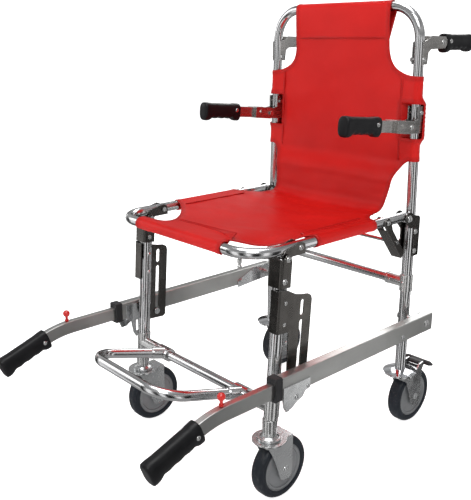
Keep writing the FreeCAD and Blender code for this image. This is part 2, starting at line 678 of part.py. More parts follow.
front_tab = front_tab.cut(cross_rod(RAIL_X1 - 1, RAIL_X1 + 4, -374, 247, 2.45))
rail_fittings = [hinge_plate, hinge_bolt, rail_pin, front_tab, tab_bolt, small_rivet]
save("rail_fittings_left", rail_fittings)
save("rail_fittings_right", [mirrored(s) for s in rail_fittings])

# The collar caps the rail's front end. Its sleeve is pressed inside the rail and guides the bar.
COLLAR_FRONT = RAIL_FRONT_Y - 16.0
collar = box(RAIL_X0 - 2.4, RAIL_X1 + 2.4, COLLAR_FRONT, RAIL_FRONT_Y - 0.02, RAIL_Z0 - 3.5, RAIL_Z1 + 3.5)
collar = soften(collar, 3.5, lambda e: abs(e.Length - 15.98) < 0.01)
collar = soften(collar, 1.2, lambda e: e.CenterOfMass.y < COLLAR_FRONT + 0.01)
inset = RAIL_WALL + 0.05
collar_sleeve = box(RAIL_X0 + inset, RAIL_X1 - inset, RAIL_FRONT_Y - 1.0, RAIL_FRONT_Y + 20.0,
                    RAIL_Z0 + inset, RAIL_Z1 - inset)
collar = fuse([collar, collar_sleeve])
bar_slot = box(BAR_X0 - 0.3, BAR_X1 + 0.3, -480, -400, BAR_Z - BAR_HALF - 0.3, BAR_Z + BAR_HALF + 0.3)
collar = collar.cut(bar_slot)
save("rail_collar_left", collar)
save("rail_collar_right", mirrored(collar))

# ---------------------------------------------------------------- telescoping handles


def bar_face(half, x, tail, back_y):
    """Side face of the sliding bar: straight, then bent down by BAR_DROP to its tail."""
    a = math.radians(BAR_DROP)
    cz = BAR_Z - BAR_BEND_R
    cy = BAR_BEND_Y

    def arc_point(angle, r):
        return vec(x, cy - r * math.sin(angle), cz + r * math.cos(angle))

    top = BAR_BEND_R + half
    low = BAR_BEND_R - half
    run = vec(0, -math.cos(a), -math.sin(a)) * tail
    edges = [
        Part.makeLine(vec(x, back_y, BAR_Z + half), arc_point(0, top)),
        Part.Arc(arc_point(0, top), arc_point(a / 2, top), arc_point(a, top)).toShape(),
        Part.makeLine(arc_point(a, top), arc_point(a, top) + run),
        Part.makeLine(arc_point(a, top) + run, arc_point(a, low) + run),
        Part.makeLine(arc_point(a, low) + run, arc_point(a, low)),
        Part.Arc(arc_point(a, low), arc_point(a / 2, low), arc_point(0, low)).toShape(),
        Part.makeLine(arc_point(0, low), vec(x, back_y, BAR_Z - half)),
        Part.makeLine(vec(x, back_y, BAR_Z - half), vec(x, back_y, BAR_Z + half)),
    ]
    return Part.Face(Part.Wire(edges))


def handle_solid(half, x0, x1, tail, back_y):
    return bar_face(half, x0, tail, back_y).extrude(vec(x1 - x0, 0, 0))


bar = handle_solid(BAR_HALF, BAR_X0, BAR_X1, BAR_TAIL, BAR_BACK_Y)
bar = soften(bar, 1.6, lambda e: e.BoundBox.XLength < 0.01 and e.Length > 30)
bar = bar.cut(handle_solid(BAR_HALF - 1.8, BAR_X0 + 1.8, BAR_X1 - 1.8, BAR_TAIL + 1, BAR_BACK_Y + 1))
bar_mid = (BAR_X0 + BAR_X1) / 2.0
bar = drill(bar, (bar_mid, KNOB_Y, 262), (bar_mid, KNOB_Y, 290), 3.3)
save("handle_bar_left", bar)
save("handle_bar_right", mirrored(bar))


def grip_profile(length, top, waist, flare, foot):
    """Side outline of a moulded grip along +u, with finger swells underneath."""
    upper = [(0, top), (length - 6, top - 1.0), (length, top - 7)]
    under = [(length, -flare + 4), (length - 4, -flare), (length - 13, -flare)]
    count = 3
    span = length - 13 - 26
    for i in range(count):
        u = length - 20 - span * i / count
        under.append((u, -waist))
        under.append((u - span / count * 0.45, -waist - 1.8))
    under += [(24, -waist), (15, -foot), (3, -foot), (0, -foot + 3)]
    return upper + under


def grip_solid(length, top, waist, flare, foot, half_x):
    """Grip along -Y, centred on x = 0, u = 0 at y = 0."""
    pts = [(-u, h) for u, h in grip_profile(length, top, waist, flare, foot)]
    body = plate_x(pts, -half_x, half_x)
    return soften(body, 4.5, lambda e: e.BoundBox.XLength < 0.01 and e.Length > 1.0)


tail_y = BAR_BEND_Y - BAR_BEND_R * math.sin(math.radians(BAR_DROP))
tail_z = BAR_Z - BAR_BEND_R * (1 - math.cos(math.radians(BAR_DROP)))
grip = grip_solid(110.0, 20.0, 18.0, 24.0, 23.0, 14.5)
grip = moved(grip, 0, 9, 0)
grip.rotate(vec(0, 0, 0), vec(1, 0, 0), BAR_DROP)
grip = moved(grip, bar_mid, tail_y, tail_z)
pocket = handle_solid(BAR_HALF + 0.05, BAR_X0 - 0.05, BAR_X1 + 0.05, BAR_TAIL + 0.05, BAR_BACK_Y)
grip = grip.cut(pocket)
grip_rivet = rivet((bar_mid + 14.5, tail_y - 2, tail_z - 2), (1, 0, 0), 2.6, 4.0)
grip = fuse([grip, grip_rivet])
save("handle_grip_left", grip)
save("handle_grip_right", mirrored(grip))

knob = fuse([
    Part.makeSphere(7.2, vec(bar_mid, KNOB_Y, 291)),
    rod((bar_mid, KNOB_Y, 264), (bar_mid, KNOB_Y, 287), 2.8),
    rod((bar_mid, KNOB_Y, 274.5), (bar_mid, KNOB_Y, 277.5), 4.2),
])
save("release_knob_left", knob)
save("release_knob_right", mirrored(knob))

# ---------------------------------------------------------------- lifting handles


def low_tang(x):
    """Forked tang of the front lifting handle, straight out along -Y from its pin."""
    y, z = LOW_PIVOT
    cheeks = []
    side = [(-22.5, 677), (-24, 684), (-29, 688.5), (-34, 690), (-80, 690), (-80, 665), (-34, 664),
            (-29, 665.5), (-24, 670)]
    for x0, x1 in ((x - 15.4, x - 13.4), (x + 13.4, x + 15.4)):
        cheeks.append(plate_x(side, x0, x1))
    web = box(x - 15.4, x + 15.4, -80, -48, 688.4, 690)
    block = box(x - 15.4, x + 15.4, -82, -72, 665, 690)
    tongue_bar = box(x - 8, x + 8, -176, -76, 666, 689)
    heads = []
    for sign in (-1, 1):
        heads.append(rivet((x + sign * 15.4, -66, 679), (sign, 0, 0), 2.8, 1.0))
    out = fuse(cheeks + [web, block, tongue_bar] + heads)
    return drill_x(out, y, z, HANDLE_PIN_R + RUN)


low = turned(low_tang(low_x), LOW_PIVOT[0], LOW_PIVOT[1], -LOW_TILT)
save("lower_handle_tang_left", low)
save("lower_handle_tang_right", mirrored(low))
low_grip = moved(grip_solid(103.0, 18.5, 15.5, 22.0, 21.5, 13.5), low_x, -129, 678)
low_grip = low_grip.cut(box(low_x - 8.05, low_x + 8.05, -176.05, -76, 665.95, 689.05))
low_grip = fuse([low_grip, rivet((low_x + 13.5, -141, 681), (1, 0, 0), 2.8, 4.0)])
low_grip = turned(low_grip, LOW_PIVOT[0], LOW_PIVOT[1], -LOW_TILT)
save("lower_handle_grip_left", low_grip)
save("lower_handle_grip_right", mirrored(low_grip))


def high_tang(x):
    """Tang of the rear lifting handle, straight out along +Y from its pin."""
    y, z = HIGH_PIVOT
    head_round = cross_rod(x - 9.5, x + 9.5, y, z, 11.0)
    arm = box(x - 9.5, x + 9.5, y, 81, z - 11, z + 11)
    tongue_bar = box(x - 8, x + 8, 76, 150, z - 10, z + 10)
    return drill_x(fuse([head_round, arm, tongue_bar]), y, z, HANDLE_PIN_R + RUN)


high = high_tang(high_x)
save("upper_handle_tang_left", high)
save("upper_handle_tang_right", mirrored(high))
high_grip = grip_solid(100.0, 18.0, 15.0, 19.5, 21.0, 13.5)
high_grip.rotate(vec(0, 0, 0), vec(0, 0, 1), 180)
high_grip = moved(high_grip, high_x, 82, HIGH_PIVOT[1])
hz = HIGH_PIVOT[1]
high_grip = high_grip.cut(box(high_x - 8.05, high_x + 8.05, 70, 150.05, hz - 10.05, hz + 10.05))
high_grip = fuse([high_grip, rivet((high_x + 13.5, 94, hz + 2), (1, 0, 0), 2.8, 4.0)])
save("upper_handle_grip_left", high_grip)
save("upper_handle_grip_right", mirrored(high_grip))

# ---------------------------------------------------------------- casters


def fork(trail, rear):
    """Swivel fork at x = 0, y = 0 with the wheel trailing towards +Y."""
    disc = rod((0, 0, DECK_LOW), (0, 0, DECK_TOP), 33.0)
    deck = box(-FORK_OUT, FORK_OUT, 0, trail + 18, DECK_LOW, DECK_TOP)
    side = [(-27, DECK_TOP), (trail + 18, DECK_TOP), (trail + 18, 62), (trail + 16, 45), (trail + 11, 40.5),
            (trail - 6, 40.5), (trail - 13, 45), (trail - 20, 66), (trail - 29, 90), (trail - 39, 110),
            (-20, 122), (-27, 126)]
    cheeks = [plate_x(side, -FORK_OUT, -FORK_IN), plate_x(side, FORK_IN, FORK_OUT)]
    out = fuse([disc, deck] + cheeks)
    if rear:
        ears_side = [(trail - 2, 128), (trail + 8, 140), (trail + 22, 142), (trail + 26, 135),
                     (trail + 15, 118)]
        ears = [plate_x(ears_side, -FORK_OUT, -FORK_IN), plate_x(ears_side, FORK_IN, FORK_OUT)]
        out = fuse([out] + ears)
        out = drill_x(out, trail + BRAKE_BACK, BRAKE_Z, 3.0 + RUN)
    out = drill(out, (0, 0, 100), (0, 0, 150), 5.0 + RUN)
    out = drill_x(out, trail, WHEEL_R, AXLE_R + 0.05)
    axle = bolt_x(-FORK_OUT, FORK_OUT, trail, WHEEL_R, AXLE_R, 12.0, 12.0)
    return [out, axle]


def turn_profile(points, x_axis_y, z):
    """Solid of revolution about the +X line through (x_axis_y, z); points are (x, radius)."""
    corners = [vec(p[0], x_axis_y, z + p[1]) for p in points]
    corners.append(corners[0])
    face = Part.Face(Part.makePolygon(corners))
    return face.revolve(vec(0, x_axis_y, z), vec(1, 0, 0), 360)


def tyre(trail):
    h = TYRE_HALF
    r = WHEEL_R
    pts = [(-h + 1, r - 14.9), (h - 1, r - 14.9), (h, r - 12), (h, r - 6), (h - 2, r - 2.6), (h - 5, r - 0.7),
           (h - 8, r), (-h + 8, r), (-h + 5, r - 0.7), (-h + 2, r - 2.6), (-h, r - 6), (-h, r - 12)]
    return turn_profile(pts, trail, r)


def hub(trail):
    h = TYRE_HALF - 1.0
    r = WHEEL_R - 15.0
    pts = [(-h - 2, AXLE_R + RUN), (-h - 2, 9), (-h + 3, 10), (-h + 3, r - 8), (-h + 1, r - 6.5),
           (-h + 1, r - 3), (-h + 2, r - 2), (-h + 1, r), (h - 1, r), (h - 2, r - 2), (h - 1, r - 3),
           (h - 1, r - 6.5), (h - 3, r - 8), (h - 3, 10), (h + 2, 9), (h + 2, AXLE_R + RUN)]
    return turn_profile(pts, trail, WHEEL_R)


def pedal(trail):
    """Brake pedal on its own pivot, with a round tread that the foot presses."""
    y = trail + BRAKE_BACK
    z = BRAKE_Z
    arm_side = [(y - 4, z - 3.2), (y - 5, z + 3), (y - 1, z + 5), (y + 10, z + 4.5), (y + 13, z + 1),
                (y + 10, z - 4)]
    arm = plate_x(arm_side, -FORK_IN + 0.5, FORK_IN - 0.5)
    tread_y = y + 14
    tread = rod((-28, tread_y, z), (28, tread_y, z), 5.5)
    tips = [Part.makeCone(5.5, 2.5, 8, vec(28, tread_y, z), vec(1, 0, 0)),
            Part.makeCone(5.5, 2.5, 8, vec(-28, tread_y, z), vec(-1, 0, 0))]
    pivot = rod((-FORK_OUT, y, z), (FORK_OUT, y, z), 3.0)
    return fuse([arm, tread, pivot] + tips)


def place(shape, x, y):
    return moved(shape, x, y, 0)


caster_spots = [
    ("rear_left", LEG_X, 0.0, REAR_TRAIL, True),
    ("rear_right", -LEG_X, 0.0, REAR_TRAIL, True),
    ("front_left", LEG_X, FRONT_FOOT_Y, FRONT_TRAIL, False),
    ("front_right", -LEG_X, FRONT_FOOT_Y, FRONT_TRAIL, False),
]
for name, x, y, trail, rear in caster_spots:
    save("caster_fork_" + name, [place(s, x, y) for s in fork(trail, rear)])
    save("caster_tyre_" + name, place(tyre(trail), x, y))
    save("caster_hub_" + name, place(hub(trail), x, y))
    if rear:
        save("brake_pedal_" + name[5:], place(pedal(trail), x, y))

dome = cap((0, 0, 133.9), (0, 0, 1), 37.0, 6.0)
rear_stem = fuse([
    dome,
    rod((0, 0, 131.6), (0, 0, 134), 33.0),
    rod((0, 0, 124), (0, 0, 140), 5.0),
    rod((0, 0, 123.6), (0, 0, 127.4), 7.0),
    rod((0, 0, 134), (0, 0, 140), 12.5),
    rod((0, 0, 136), (0, 0, 168), 10.0),
])
save("rear_caster_stems", [place(rear_stem, LEG_X, 0), place(rear_stem, -LEG_X, 0)])

front_stem = fuse([
    rod((0, 0, 131.6), (0, 0, 135), 23.0),
    Part.makeCone(19.0, 12.0, 4.0, vec(0, 0, 135), vec(0, 0, 1)),
    rod((0, 0, 124), (0, 0, 140), 5.0),
    rod((0, 0, 123.6), (0, 0, 127.4), 7.0),
    rod((0, 0, 134), (0, 0, 146), 6.0),
])
front_spots = [(LEG_X, FRONT_FOOT_Y), (-LEG_X, FRONT_FOOT_Y)]
save("front_caster_stems", [place(front_stem, x, y) for x, y in front_spots])
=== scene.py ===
import bpy
import bmesh
import math
import numpy as np
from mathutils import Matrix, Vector, noise
from mathutils.geometry import delaunay_2d_cdt


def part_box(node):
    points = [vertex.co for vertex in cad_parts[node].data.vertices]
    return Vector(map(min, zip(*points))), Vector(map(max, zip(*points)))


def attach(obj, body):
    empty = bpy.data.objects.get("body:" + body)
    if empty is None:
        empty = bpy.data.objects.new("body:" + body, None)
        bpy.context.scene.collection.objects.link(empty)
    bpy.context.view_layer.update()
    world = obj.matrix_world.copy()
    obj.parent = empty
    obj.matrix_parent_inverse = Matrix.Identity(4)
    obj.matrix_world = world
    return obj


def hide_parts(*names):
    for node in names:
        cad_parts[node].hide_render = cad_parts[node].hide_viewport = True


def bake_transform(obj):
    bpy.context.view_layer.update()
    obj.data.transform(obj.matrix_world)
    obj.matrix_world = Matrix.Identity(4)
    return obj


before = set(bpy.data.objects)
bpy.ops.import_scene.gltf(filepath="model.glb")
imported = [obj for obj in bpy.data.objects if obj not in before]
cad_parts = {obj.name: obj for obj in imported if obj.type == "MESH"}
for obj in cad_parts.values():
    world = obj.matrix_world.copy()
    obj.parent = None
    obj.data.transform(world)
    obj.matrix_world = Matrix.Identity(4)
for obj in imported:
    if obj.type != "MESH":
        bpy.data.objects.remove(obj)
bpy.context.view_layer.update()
MM = 0.001

leg_lo, leg_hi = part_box("rear_leg_left")
CY = (leg_lo.y + leg_hi.y) / 2 / MM
LEG_X = (leg_lo.x + leg_hi.x) / 2 / MM


def P(x, y, z):
    """A place in chair millimetres, with y = 0 on the rear legs, to metres in the shared frame."""
    return Vector((x * MM, (y + CY) * MM, z * MM))


def link(obj):
    bpy.context.scene.collection.objects.link(obj)
    return obj


def mesh_object(name, verts, faces, smooth=True):
    mesh = bpy.data.meshes.new(name)
    mesh.from_pydata([tuple(v) for v in verts], [], faces)
    mesh.validate()
    for poly in mesh.polygons:
        poly.use_smooth = smooth
    return link(bpy.data.objects.new(name, mesh))


def face_outward(mesh):
    bm = bmesh.new()
    bm.from_mesh(mesh)
    bmesh.ops.recalc_face_normals(bm, faces=bm.faces)
    bm.to_mesh(mesh)
    bm.free()


# ------------------------------------------------------------------ camera

CAMERA_PLACE = (1029.73, -1255.26, 845.27)
CAMERA_YAW = 47.569
CAMERA_PITCH = 16.457

cam_data = bpy.data.cameras.new("camera")
cam_data.lens = 51.39
cam_data.sensor_width = 36.0
cam = link(bpy.data.objects.new("camera", cam_data))
yaw = math.radians(CAMERA_YAW)
pitch = math.radians(CAMERA_PITCH)
ahead = Vector((-math.sin(yaw) * math.cos(pitch), math.cos(yaw) * math.cos(pitch), -math.sin(pitch)))
cam.location = P(*CAMERA_PLACE)
cam.rotation_euler = ahead.to_track_quat("-Z", "Y").to_euler()
cam_data.clip_end = 100
bpy.context.scene.camera = cam

# ------------------------------------------------------------------ materials


class Nodes:
    """A few lines of help for building a node material."""

    def __init__(self, name):
        self.mat = bpy.data.materials.new(name)
        self.mat.use_nodes = True
        self.tree = self.mat.node_tree
        self.bsdf = self.tree.nodes["Principled BSDF"]
        self.coord = self.add("ShaderNodeTexCoord").outputs["Object"]

    def add(self, kind, **props):
        node = self.tree.nodes.new(kind)
        for key, value in props.items():
            setattr(node, key, value)
        return node

    def link(self, a, b):
        self.tree.links.new(a, b)

    def put(self, name, value):
        self.bsdf.inputs[name].default_value = value

    def mapped(self, scale, source=None):
        node = self.add("ShaderNodeMapping")
        node.inputs["Scale"].default_value = scale
        self.link(source or self.coord, node.inputs["Vector"])
        return node.outputs["Vector"]

    def noise(self, scale, detail=3.0, stretch=None, rough=0.5, source=None):
        node = self.add("ShaderNodeTexNoise")
        node.inputs["Scale"].default_value = scale
        node.inputs["Detail"].default_value = detail
        node.inputs["Roughness"].default_value = rough
        vector = self.mapped(stretch, source) if stretch else (source or self.coord)
        self.link(vector, node.inputs["Vector"])
        return node.outputs["Fac"]

    def ranged(self, value, low, high, a=0.3, b=0.7):
        node = self.add("ShaderNodeMapRange")
        node.inputs["From Min"].default_value = a
        node.inputs["From Max"].default_value = b
        node.inputs["To Min"].default_value = low
        node.inputs["To Max"].default_value = high
        self.link(value, node.inputs["Value"])
        return node.outputs["Result"]

    def math(self, op, a, b):
        node = self.add("ShaderNodeMath", operation=op)
        for i, v in enumerate((a, b)):
            if isinstance(v, (int, float)):
                node.inputs[i].default_value = v
            else:
                self.link(v, node.inputs[i])
        return node.outputs["Value"]

    def blend(self, fac, a, b):
        node = self.add("ShaderNodeMix", data_type="RGBA")
        self.link(fac, node.inputs["Factor"])
        for name, v in (("A", a), ("B", b)):
            socket = [s for s in node.inputs if s.name == name and s.type == "RGBA"][0]
            if isinstance(v, tuple):
                socket.default_value = v + (1.0,)
            else:
                self.link(v, socket)
        return [s for s in node.outputs if s.type == "RGBA"][0]

    def bump(self, height, distance, strength=1.0, under=None):
        node = self.add("ShaderNodeBump")
        node.inputs["Distance"].default_value = distance
        node.inputs["Strength"].default_value = strength
        self.link(height, node.inputs["Height"])
        if under is not None:
            self.link(under, node.inputs["Normal"])
        return node.outputs["Normal"]

    def rounded(self, radius):
        node = self.add("ShaderNodeBevel", samples=4)
        node.inputs["Radius"].default_value = radius
        return node.outputs["Normal"]

    def edges(self, radius):
        """0 on flats, towards 1 on a part's edges."""
        bevel = self.rounded(radius)
        plain = self.add("ShaderNodeNewGeometry").outputs["Normal"]
        dot = self.add("ShaderNodeVectorMath", operation="DOT_PRODUCT")
        self.link(bevel, dot.inputs[0])
        self.link(plain, dot.inputs[1])
        return self.ranged(dot.outputs["Value"], 1.0, 0.0, 0.86, 0.995)


def metal(name, colour, dark, rough, spread, stretch=(1, 1, 1), grain=900.0, depth=0.00002,
          bright=None, edge=0.0006, pits=0.0):
    """Metal with clouded tone, edges painted lighter as a painted highlight where a bright colour is given,
    smeared gloss and, on castings, fine pits.
    """
    n = Nodes(name)
    n.put("Metallic", 1.0)
    cloud = n.ranged(n.noise(14.0, 4.0), 0.0, 1.0)
    tone = n.blend(cloud, dark, colour)
    # Painted highlight: where a bright colour is given, the part's edges are painted lighter with it.
    edge_highlight = n.edges(edge * 1.6)
    if bright:
        tone = n.blend(edge_highlight, tone, bright)
    n.link(tone, n.bsdf.inputs["Base Color"])
    smear = n.noise(38.0, 5.0, stretch, 0.6)
    fine = n.noise(grain, 3.0, stretch, 0.7)
    mixed = n.math("ADD", n.math("MULTIPLY", smear, 0.6), n.math("MULTIPLY", fine, 0.4))
    n.link(n.ranged(mixed, rough, rough + spread), n.bsdf.inputs["Roughness"])
    normal = n.rounded(edge)
    normal = n.bump(fine, depth, 0.6, normal)
    if pits:
        normal = n.bump(n.noise(1800.0, 2.0), pits, 0.7, normal)
    n.link(normal, n.bsdf.inputs["Normal"])
    return n.mat


def plastic(name, colour, shade, rough, spread, coat=0.0, scuff=None, specular=0.5):
    """Moulded or painted surface with a fine grain and, where given, lighter scuffs."""
    n = Nodes(name)
    n.put("Specular IOR Level", specular)
    cloud = n.ranged(n.noise(22.0, 4.0), 0.0, 1.0)
    tone = n.blend(cloud, shade, colour)
    if scuff:
        marks = n.ranged(n.noise(70.0, 6.0, (1, 3, 1), 0.75), 0.0, 0.55, 0.6, 0.78)
        tone = n.blend(marks, tone, scuff)
    n.link(tone, n.bsdf.inputs["Base Color"])
    n.link(n.ranged(n.noise(60.0, 5.0), rough, rough + spread), n.bsdf.inputs["Roughness"])
    n.put("Coat Weight", coat)
    n.put("Coat Roughness", 0.15)
    normal = n.bump(n.noise(1500.0, 2.0), 0.00004, 0.5, n.rounded(0.0008))
    n.link(normal, n.bsdf.inputs["Normal"])
    return n.mat


polished = metal("polished_tube", (0.72, 0.72, 0.725), (0.62, 0.62, 0.63), 0.10, 0.13, depth=0.000006)
dark_sheet = metal("dark_bracket", (0.145, 0.137, 0.128), (0.085, 0.08, 0.075), 0.17, 0.16,
                   bright=(0.42, 0.41, 0.40), depth=0.00001)
plate_steel = metal("plate_steel", (0.60, 0.58, 0.56), (0.42, 0.41, 0.40), 0.18, 0.18, stretch=(3, 0.4, 3),
                    grain=500.0, bright=(0.85, 0.85, 0.85), depth=0.00001)
rail_metal = metal("rail_aluminium", (0.62, 0.62, 0.605), (0.52, 0.52, 0.505), 0.27, 0.16,
                   stretch=(9, 0.25, 9), grain=420.0, depth=0.00002, bright=(0.86, 0.86, 0.85))
zinc = metal("zinc", (0.76, 0.77, 0.77), (0.58, 0.59, 0.60), 0.17, 0.15, depth=0.00001,
             bright=(0.85, 0.85, 0.85), pits=0.000004)
bolt_metal = metal("bolt_steel", (0.78, 0.78, 0.77), (0.6, 0.6, 0.6), 0.14, 0.18, edge=0.0004)
dome_metal = metal("caster_chrome", (0.80, 0.81, 0.83), (0.70, 0.71, 0.73), 0.06, 0.12, depth=0.000004)
cast_metal = metal("cast_fitting", (0.76, 0.76, 0.75), (0.60, 0.60, 0.60), 0.17, 0.18, depth=0.00002,
                   bright=(0.8, 0.8, 0.8), pits=0.00001)
grip_black = plastic("black_grip", (0.007, 0.007, 0.008), (0.004, 0.004, 0.005), 0.30, 0.16, coat=0.03,
                     scuff=(0.014, 0.014, 0.015), specular=0.24)
mould_black = plastic("black_moulding", (0.017, 0.017, 0.019), (0.011, 0.011, 0.012), 0.38, 0.2,
                      scuff=(0.05, 0.05, 0.05))
knob_red = plastic("red_knob", (0.62, 0.020, 0.014), (0.48, 0.012, 0.010), 0.14, 0.12, coat=0.5)
brake_black = plastic("brake_steel", (0.02, 0.02, 0.022), (0.014, 0.014, 0.015), 0.3, 0.2,
                      scuff=(0.12, 0.12, 0.12))


def wheel_material(name, colour, shade, node, rings):
    """Moulded wheel: fine turned rings round the axle, a scuffed tread and a little floor dust."""
    n = Nodes(name)
    lo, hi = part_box(node)
    middle = (lo + hi) / 2
    shift = n.add("ShaderNodeMapping")
    shift.inputs["Location"].default_value = -middle
    n.link(n.coord, shift.inputs["Vector"])
    local = shift.outputs["Vector"]
    split = n.add("ShaderNodeSeparateXYZ")
    n.link(local, split.inputs["Vector"])
    y2 = n.math("MULTIPLY", split.outputs["Y"], split.outputs["Y"])
    z2 = n.math("MULTIPLY", split.outputs["Z"], split.outputs["Z"])
    radius = n.math("SQRT", n.math("ADD", y2, z2), 0.0)
    turned = n.math("SINE", n.math("MULTIPLY", radius, rings), 0.0)
    cloud = n.ranged(n.noise(30.0, 5.0), 0.0, 1.0)
    tone = n.blend(cloud, shade, colour)
    dust = n.ranged(n.noise(120.0, 6.0, None, 0.7), 0.0, 0.5, 0.52, 0.75)
    rim = n.ranged(radius, 0.0, 1.0, 0.056, 0.062)
    tone = n.blend(n.math("MULTIPLY", dust, rim), tone, (0.09, 0.088, 0.085))
    n.link(tone, n.bsdf.inputs["Base Color"])
    n.link(n.ranged(n.noise(80.0, 4.0), 0.36, 0.36 + 0.16), n.bsdf.inputs["Roughness"])
    n.put("Specular IOR Level", 0.34)
    normal = n.bump(turned, 0.00003, 0.35, n.rounded(0.001))
    normal = n.bump(n.noise(1400.0, 2.0), 0.00004, 0.4, normal)
    n.link(normal, n.bsdf.inputs["Normal"])
    return n.mat


def cloth_material():
    """Coated woven cloth: a fine plain weave pressed into a semi gloss coat."""
    n = Nodes("red_vinyl")
    uv = n.add("ShaderNodeUVMap", uv_map="flat").outputs["UV"]
    waves = []
    for axis in ("X", "Y"):
        wave = n.add("ShaderNodeTexWave", wave_type="BANDS", bands_direction=axis)
        wave.inputs["Scale"].default_value = 190.0
        wave.inputs["Distortion"].default_value = 0.6
        wave.inputs["Detail"].default_value = 1.0
        n.link(uv, wave.inputs["Vector"])
        waves.append(wave.outputs["Fac"])
    weave = n.math("MULTIPLY", waves[0], waves[1])
    flat_noise = n.noise(9.0, 4.0, None, 0.55, uv)
    tone = n.blend(n.ranged(flat_noise, 0.0, 1.0), (0.50, 0.0052, 0.0038), (0.57, 0.0078, 0.0056))
    tone = n.blend(n.ranged(weave, 0.0, 0.06, 0.0, 1.0), tone, (0.62, 0.012, 0.009))
    edge = n.add("ShaderNodeAttribute", attribute_name="edge").outputs["Fac"]
    tone = n.blend(n.math("MULTIPLY", edge, 0.45), tone, (0.30, 0.004, 0.004))
    rub = n.ranged(n.noise(26.0, 6.0, None, 0.7, uv), 0.0, 0.12, 0.55, 0.75)
    tone = n.blend(rub, tone, (0.70, 0.030, 0.022))
    n.link(tone, n.bsdf.inputs["Base Color"])
    gloss = n.math("ADD", n.ranged(flat_noise, 0.36, 0.46), n.math("MULTIPLY", rub, 0.6))
    n.link(gloss, n.bsdf.inputs["Roughness"])
    n.put("Specular IOR Level", 0.20)
    normal = n.bump(weave, 0.00005, 0.4)
    normal = n.bump(n.noise(55.0, 5.0, (1, 1.6, 1), 0.6, uv), 0.0012, 0.28, normal)
    n.link(normal, n.bsdf.inputs["Normal"])
    return n.mat


def thread_material():
    n = Nodes("red_thread")
    twist = n.noise(2600.0, 2.0, (1, 1, 3))
    tone = n.blend(n.ranged(twist, 0.0, 1.0), (0.36, 0.007, 0.006), (0.50, 0.016, 0.013))
    n.link(tone, n.bsdf.inputs["Base Color"])
    n.put("Roughness", 0.6)
    n.link(n.bump(twist, 0.0001, 0.6), n.bsdf.inputs["Normal"])
    return n.mat


vinyl = cloth_material()
thread = thread_material()


def paint(name, material):
    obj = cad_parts[name]
    if not obj.material_slots:
        obj.data.materials.append(material)
    for s in obj.material_slots:
        s.material = material


# Materials by the start of the node's name. The first rule that fits is used.
RULES = [
    (("rear_tee_collars", "front_leg_sockets"), cast_metal),
    (("rear_leg", "back_tube", "rear_crossbar", "seat_tube", "front_crossbar", "footrest_loop",
      "front_leg_l", "front_leg_r", "release_rod"), polished),
    (("rear_hinge", "front_hinge", "slotted", "prop_braces"), dark_sheet),
    (("upper_handle_b", "lower_handle_b", "upper_handle_tang", "lower_handle_tang"), plate_steel),
    (("frame_fasteners", "seat_fasteners", "front_leg_fasteners"), bolt_metal),
    (("rail_tube", "handle_bar"), rail_metal),
    (("rail_fittings", "caster_fork", "front_caster_stems"), zinc),
    (("rail_collar",), mould_black),
    (("release_knob",), knob_red),
    (("rear_caster_stems",), dome_metal),
    (("brake_pedal",), brake_black),
]
RUBBER = ((0.010, 0.014, 0.021), (0.006, 0.009, 0.014))
HUB_GREY = ((0.175, 0.18, 0.185), (0.13, 0.135, 0.14))
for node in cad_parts:
    for prefixes, material in RULES:
        if node.startswith(prefixes):
            paint(node, material)
            break
    if node.startswith("caster_tyre"):
        paint(node, wheel_material("rubber_" + node, *RUBBER, node, 5200.0))
    if node.startswith("caster_hub"):
        paint(node, wheel_material("moulded_" + node, *HUB_GREY, node, 4200.0))

# ------------------------------------------------------------------ cloth sling

# The cloth's middle line wraps every tube at the radius RHO. u runs across the flat pattern and
# s along it: from the hem behind the top tube, over it, down the back, along the seat and round
# the front tube.
RHO = 11.1
SEAT_Z = 492.0
FRONT_Y = -458.0
TOP_Z = 909.0
SEAT_TOP = SEAT_Z + RHO
BACK_LOW = 603.0
SEAT_REAR = -78.0
KINK_Z = 480.0
TOP_X = 192.5


def column_x(z):
    """Distance of a column of the back tube from the middle plane."""
    return LEG_X + (TOP_X - LEG_X) * (z - KINK_Z) / (TOP_Z - KINK_Z)


def arc(cy, cz, r, a0, a1, steps):
    out = []
    for i in range(steps + 1):
        a = math.radians(a0 + (a1 - a0) * i / steps)
        out.append((cy + r * math.cos(a), cz + r * math.sin(a)))
    return out


def catmull(points, step):
    """Catmull-Rom points from the second to the last but one of a run, about a step apart."""
    pts = [np.array(p, float) for p in points]
    out = []
    for i in range(1, len(pts) - 2):
        p0, p1, p2, p3 = pts[i - 1:i + 3]
        n = max(1, int(np.linalg.norm(p2 - p1) / step))
        for k in range(n):
            t = k / n
            out.append(0.5 * ((2 * p1) + (p2 - p0) * t + (2 * p0 - 5 * p1 + 4 * p2 - p3) * t * t
                              + (3 * p1 - p0 - 3 * p2 + p3) * t ** 3))
    out.append(pts[-2])
    return out


profile = [(-RHO + 2.4, 846.0), (RHO - 0.5, 898.0)]
profile += arc(0.0, TOP_Z, RHO, 0, 180, 24)
profile += [(-RHO, BACK_LOW)]
# Below the sleeves the back hangs forward of its tubes, then creases where it meets the seat.
CREASE = (-47.5, 505.3)
drape = catmull([(-RHO, 615.0), (-RHO, BACK_LOW), (-15.5, 592.5), (-23.5, 581.0), (-30.5, 566.0),
                 (-34.5, 547.0), (-37.5, 528.0), (-41.0, 513.5), CREASE, (-57.0, 503.2),
                 (SEAT_REAR, SEAT_TOP), (-92.0, SEAT_TOP)], 2.5)
profile += [tuple(p) for p in drape[1:]]
profile += [(FRONT_Y + 0.01, SEAT_TOP)]
profile += arc(FRONT_Y, SEAT_Z, RHO, 90, 270, 24)[1:]
profile += [(FRONT_Y + 14.0, SEAT_Z - RHO), (FRONT_Y + 54.0, SEAT_TOP - 2.4)]
PY = np.array([p[0] for p in profile])
PZ = np.array([p[1] for p in profile])
PS = np.concatenate([[0.0], np.cumsum(np.hypot(np.diff(PY), np.diff(PZ)))])


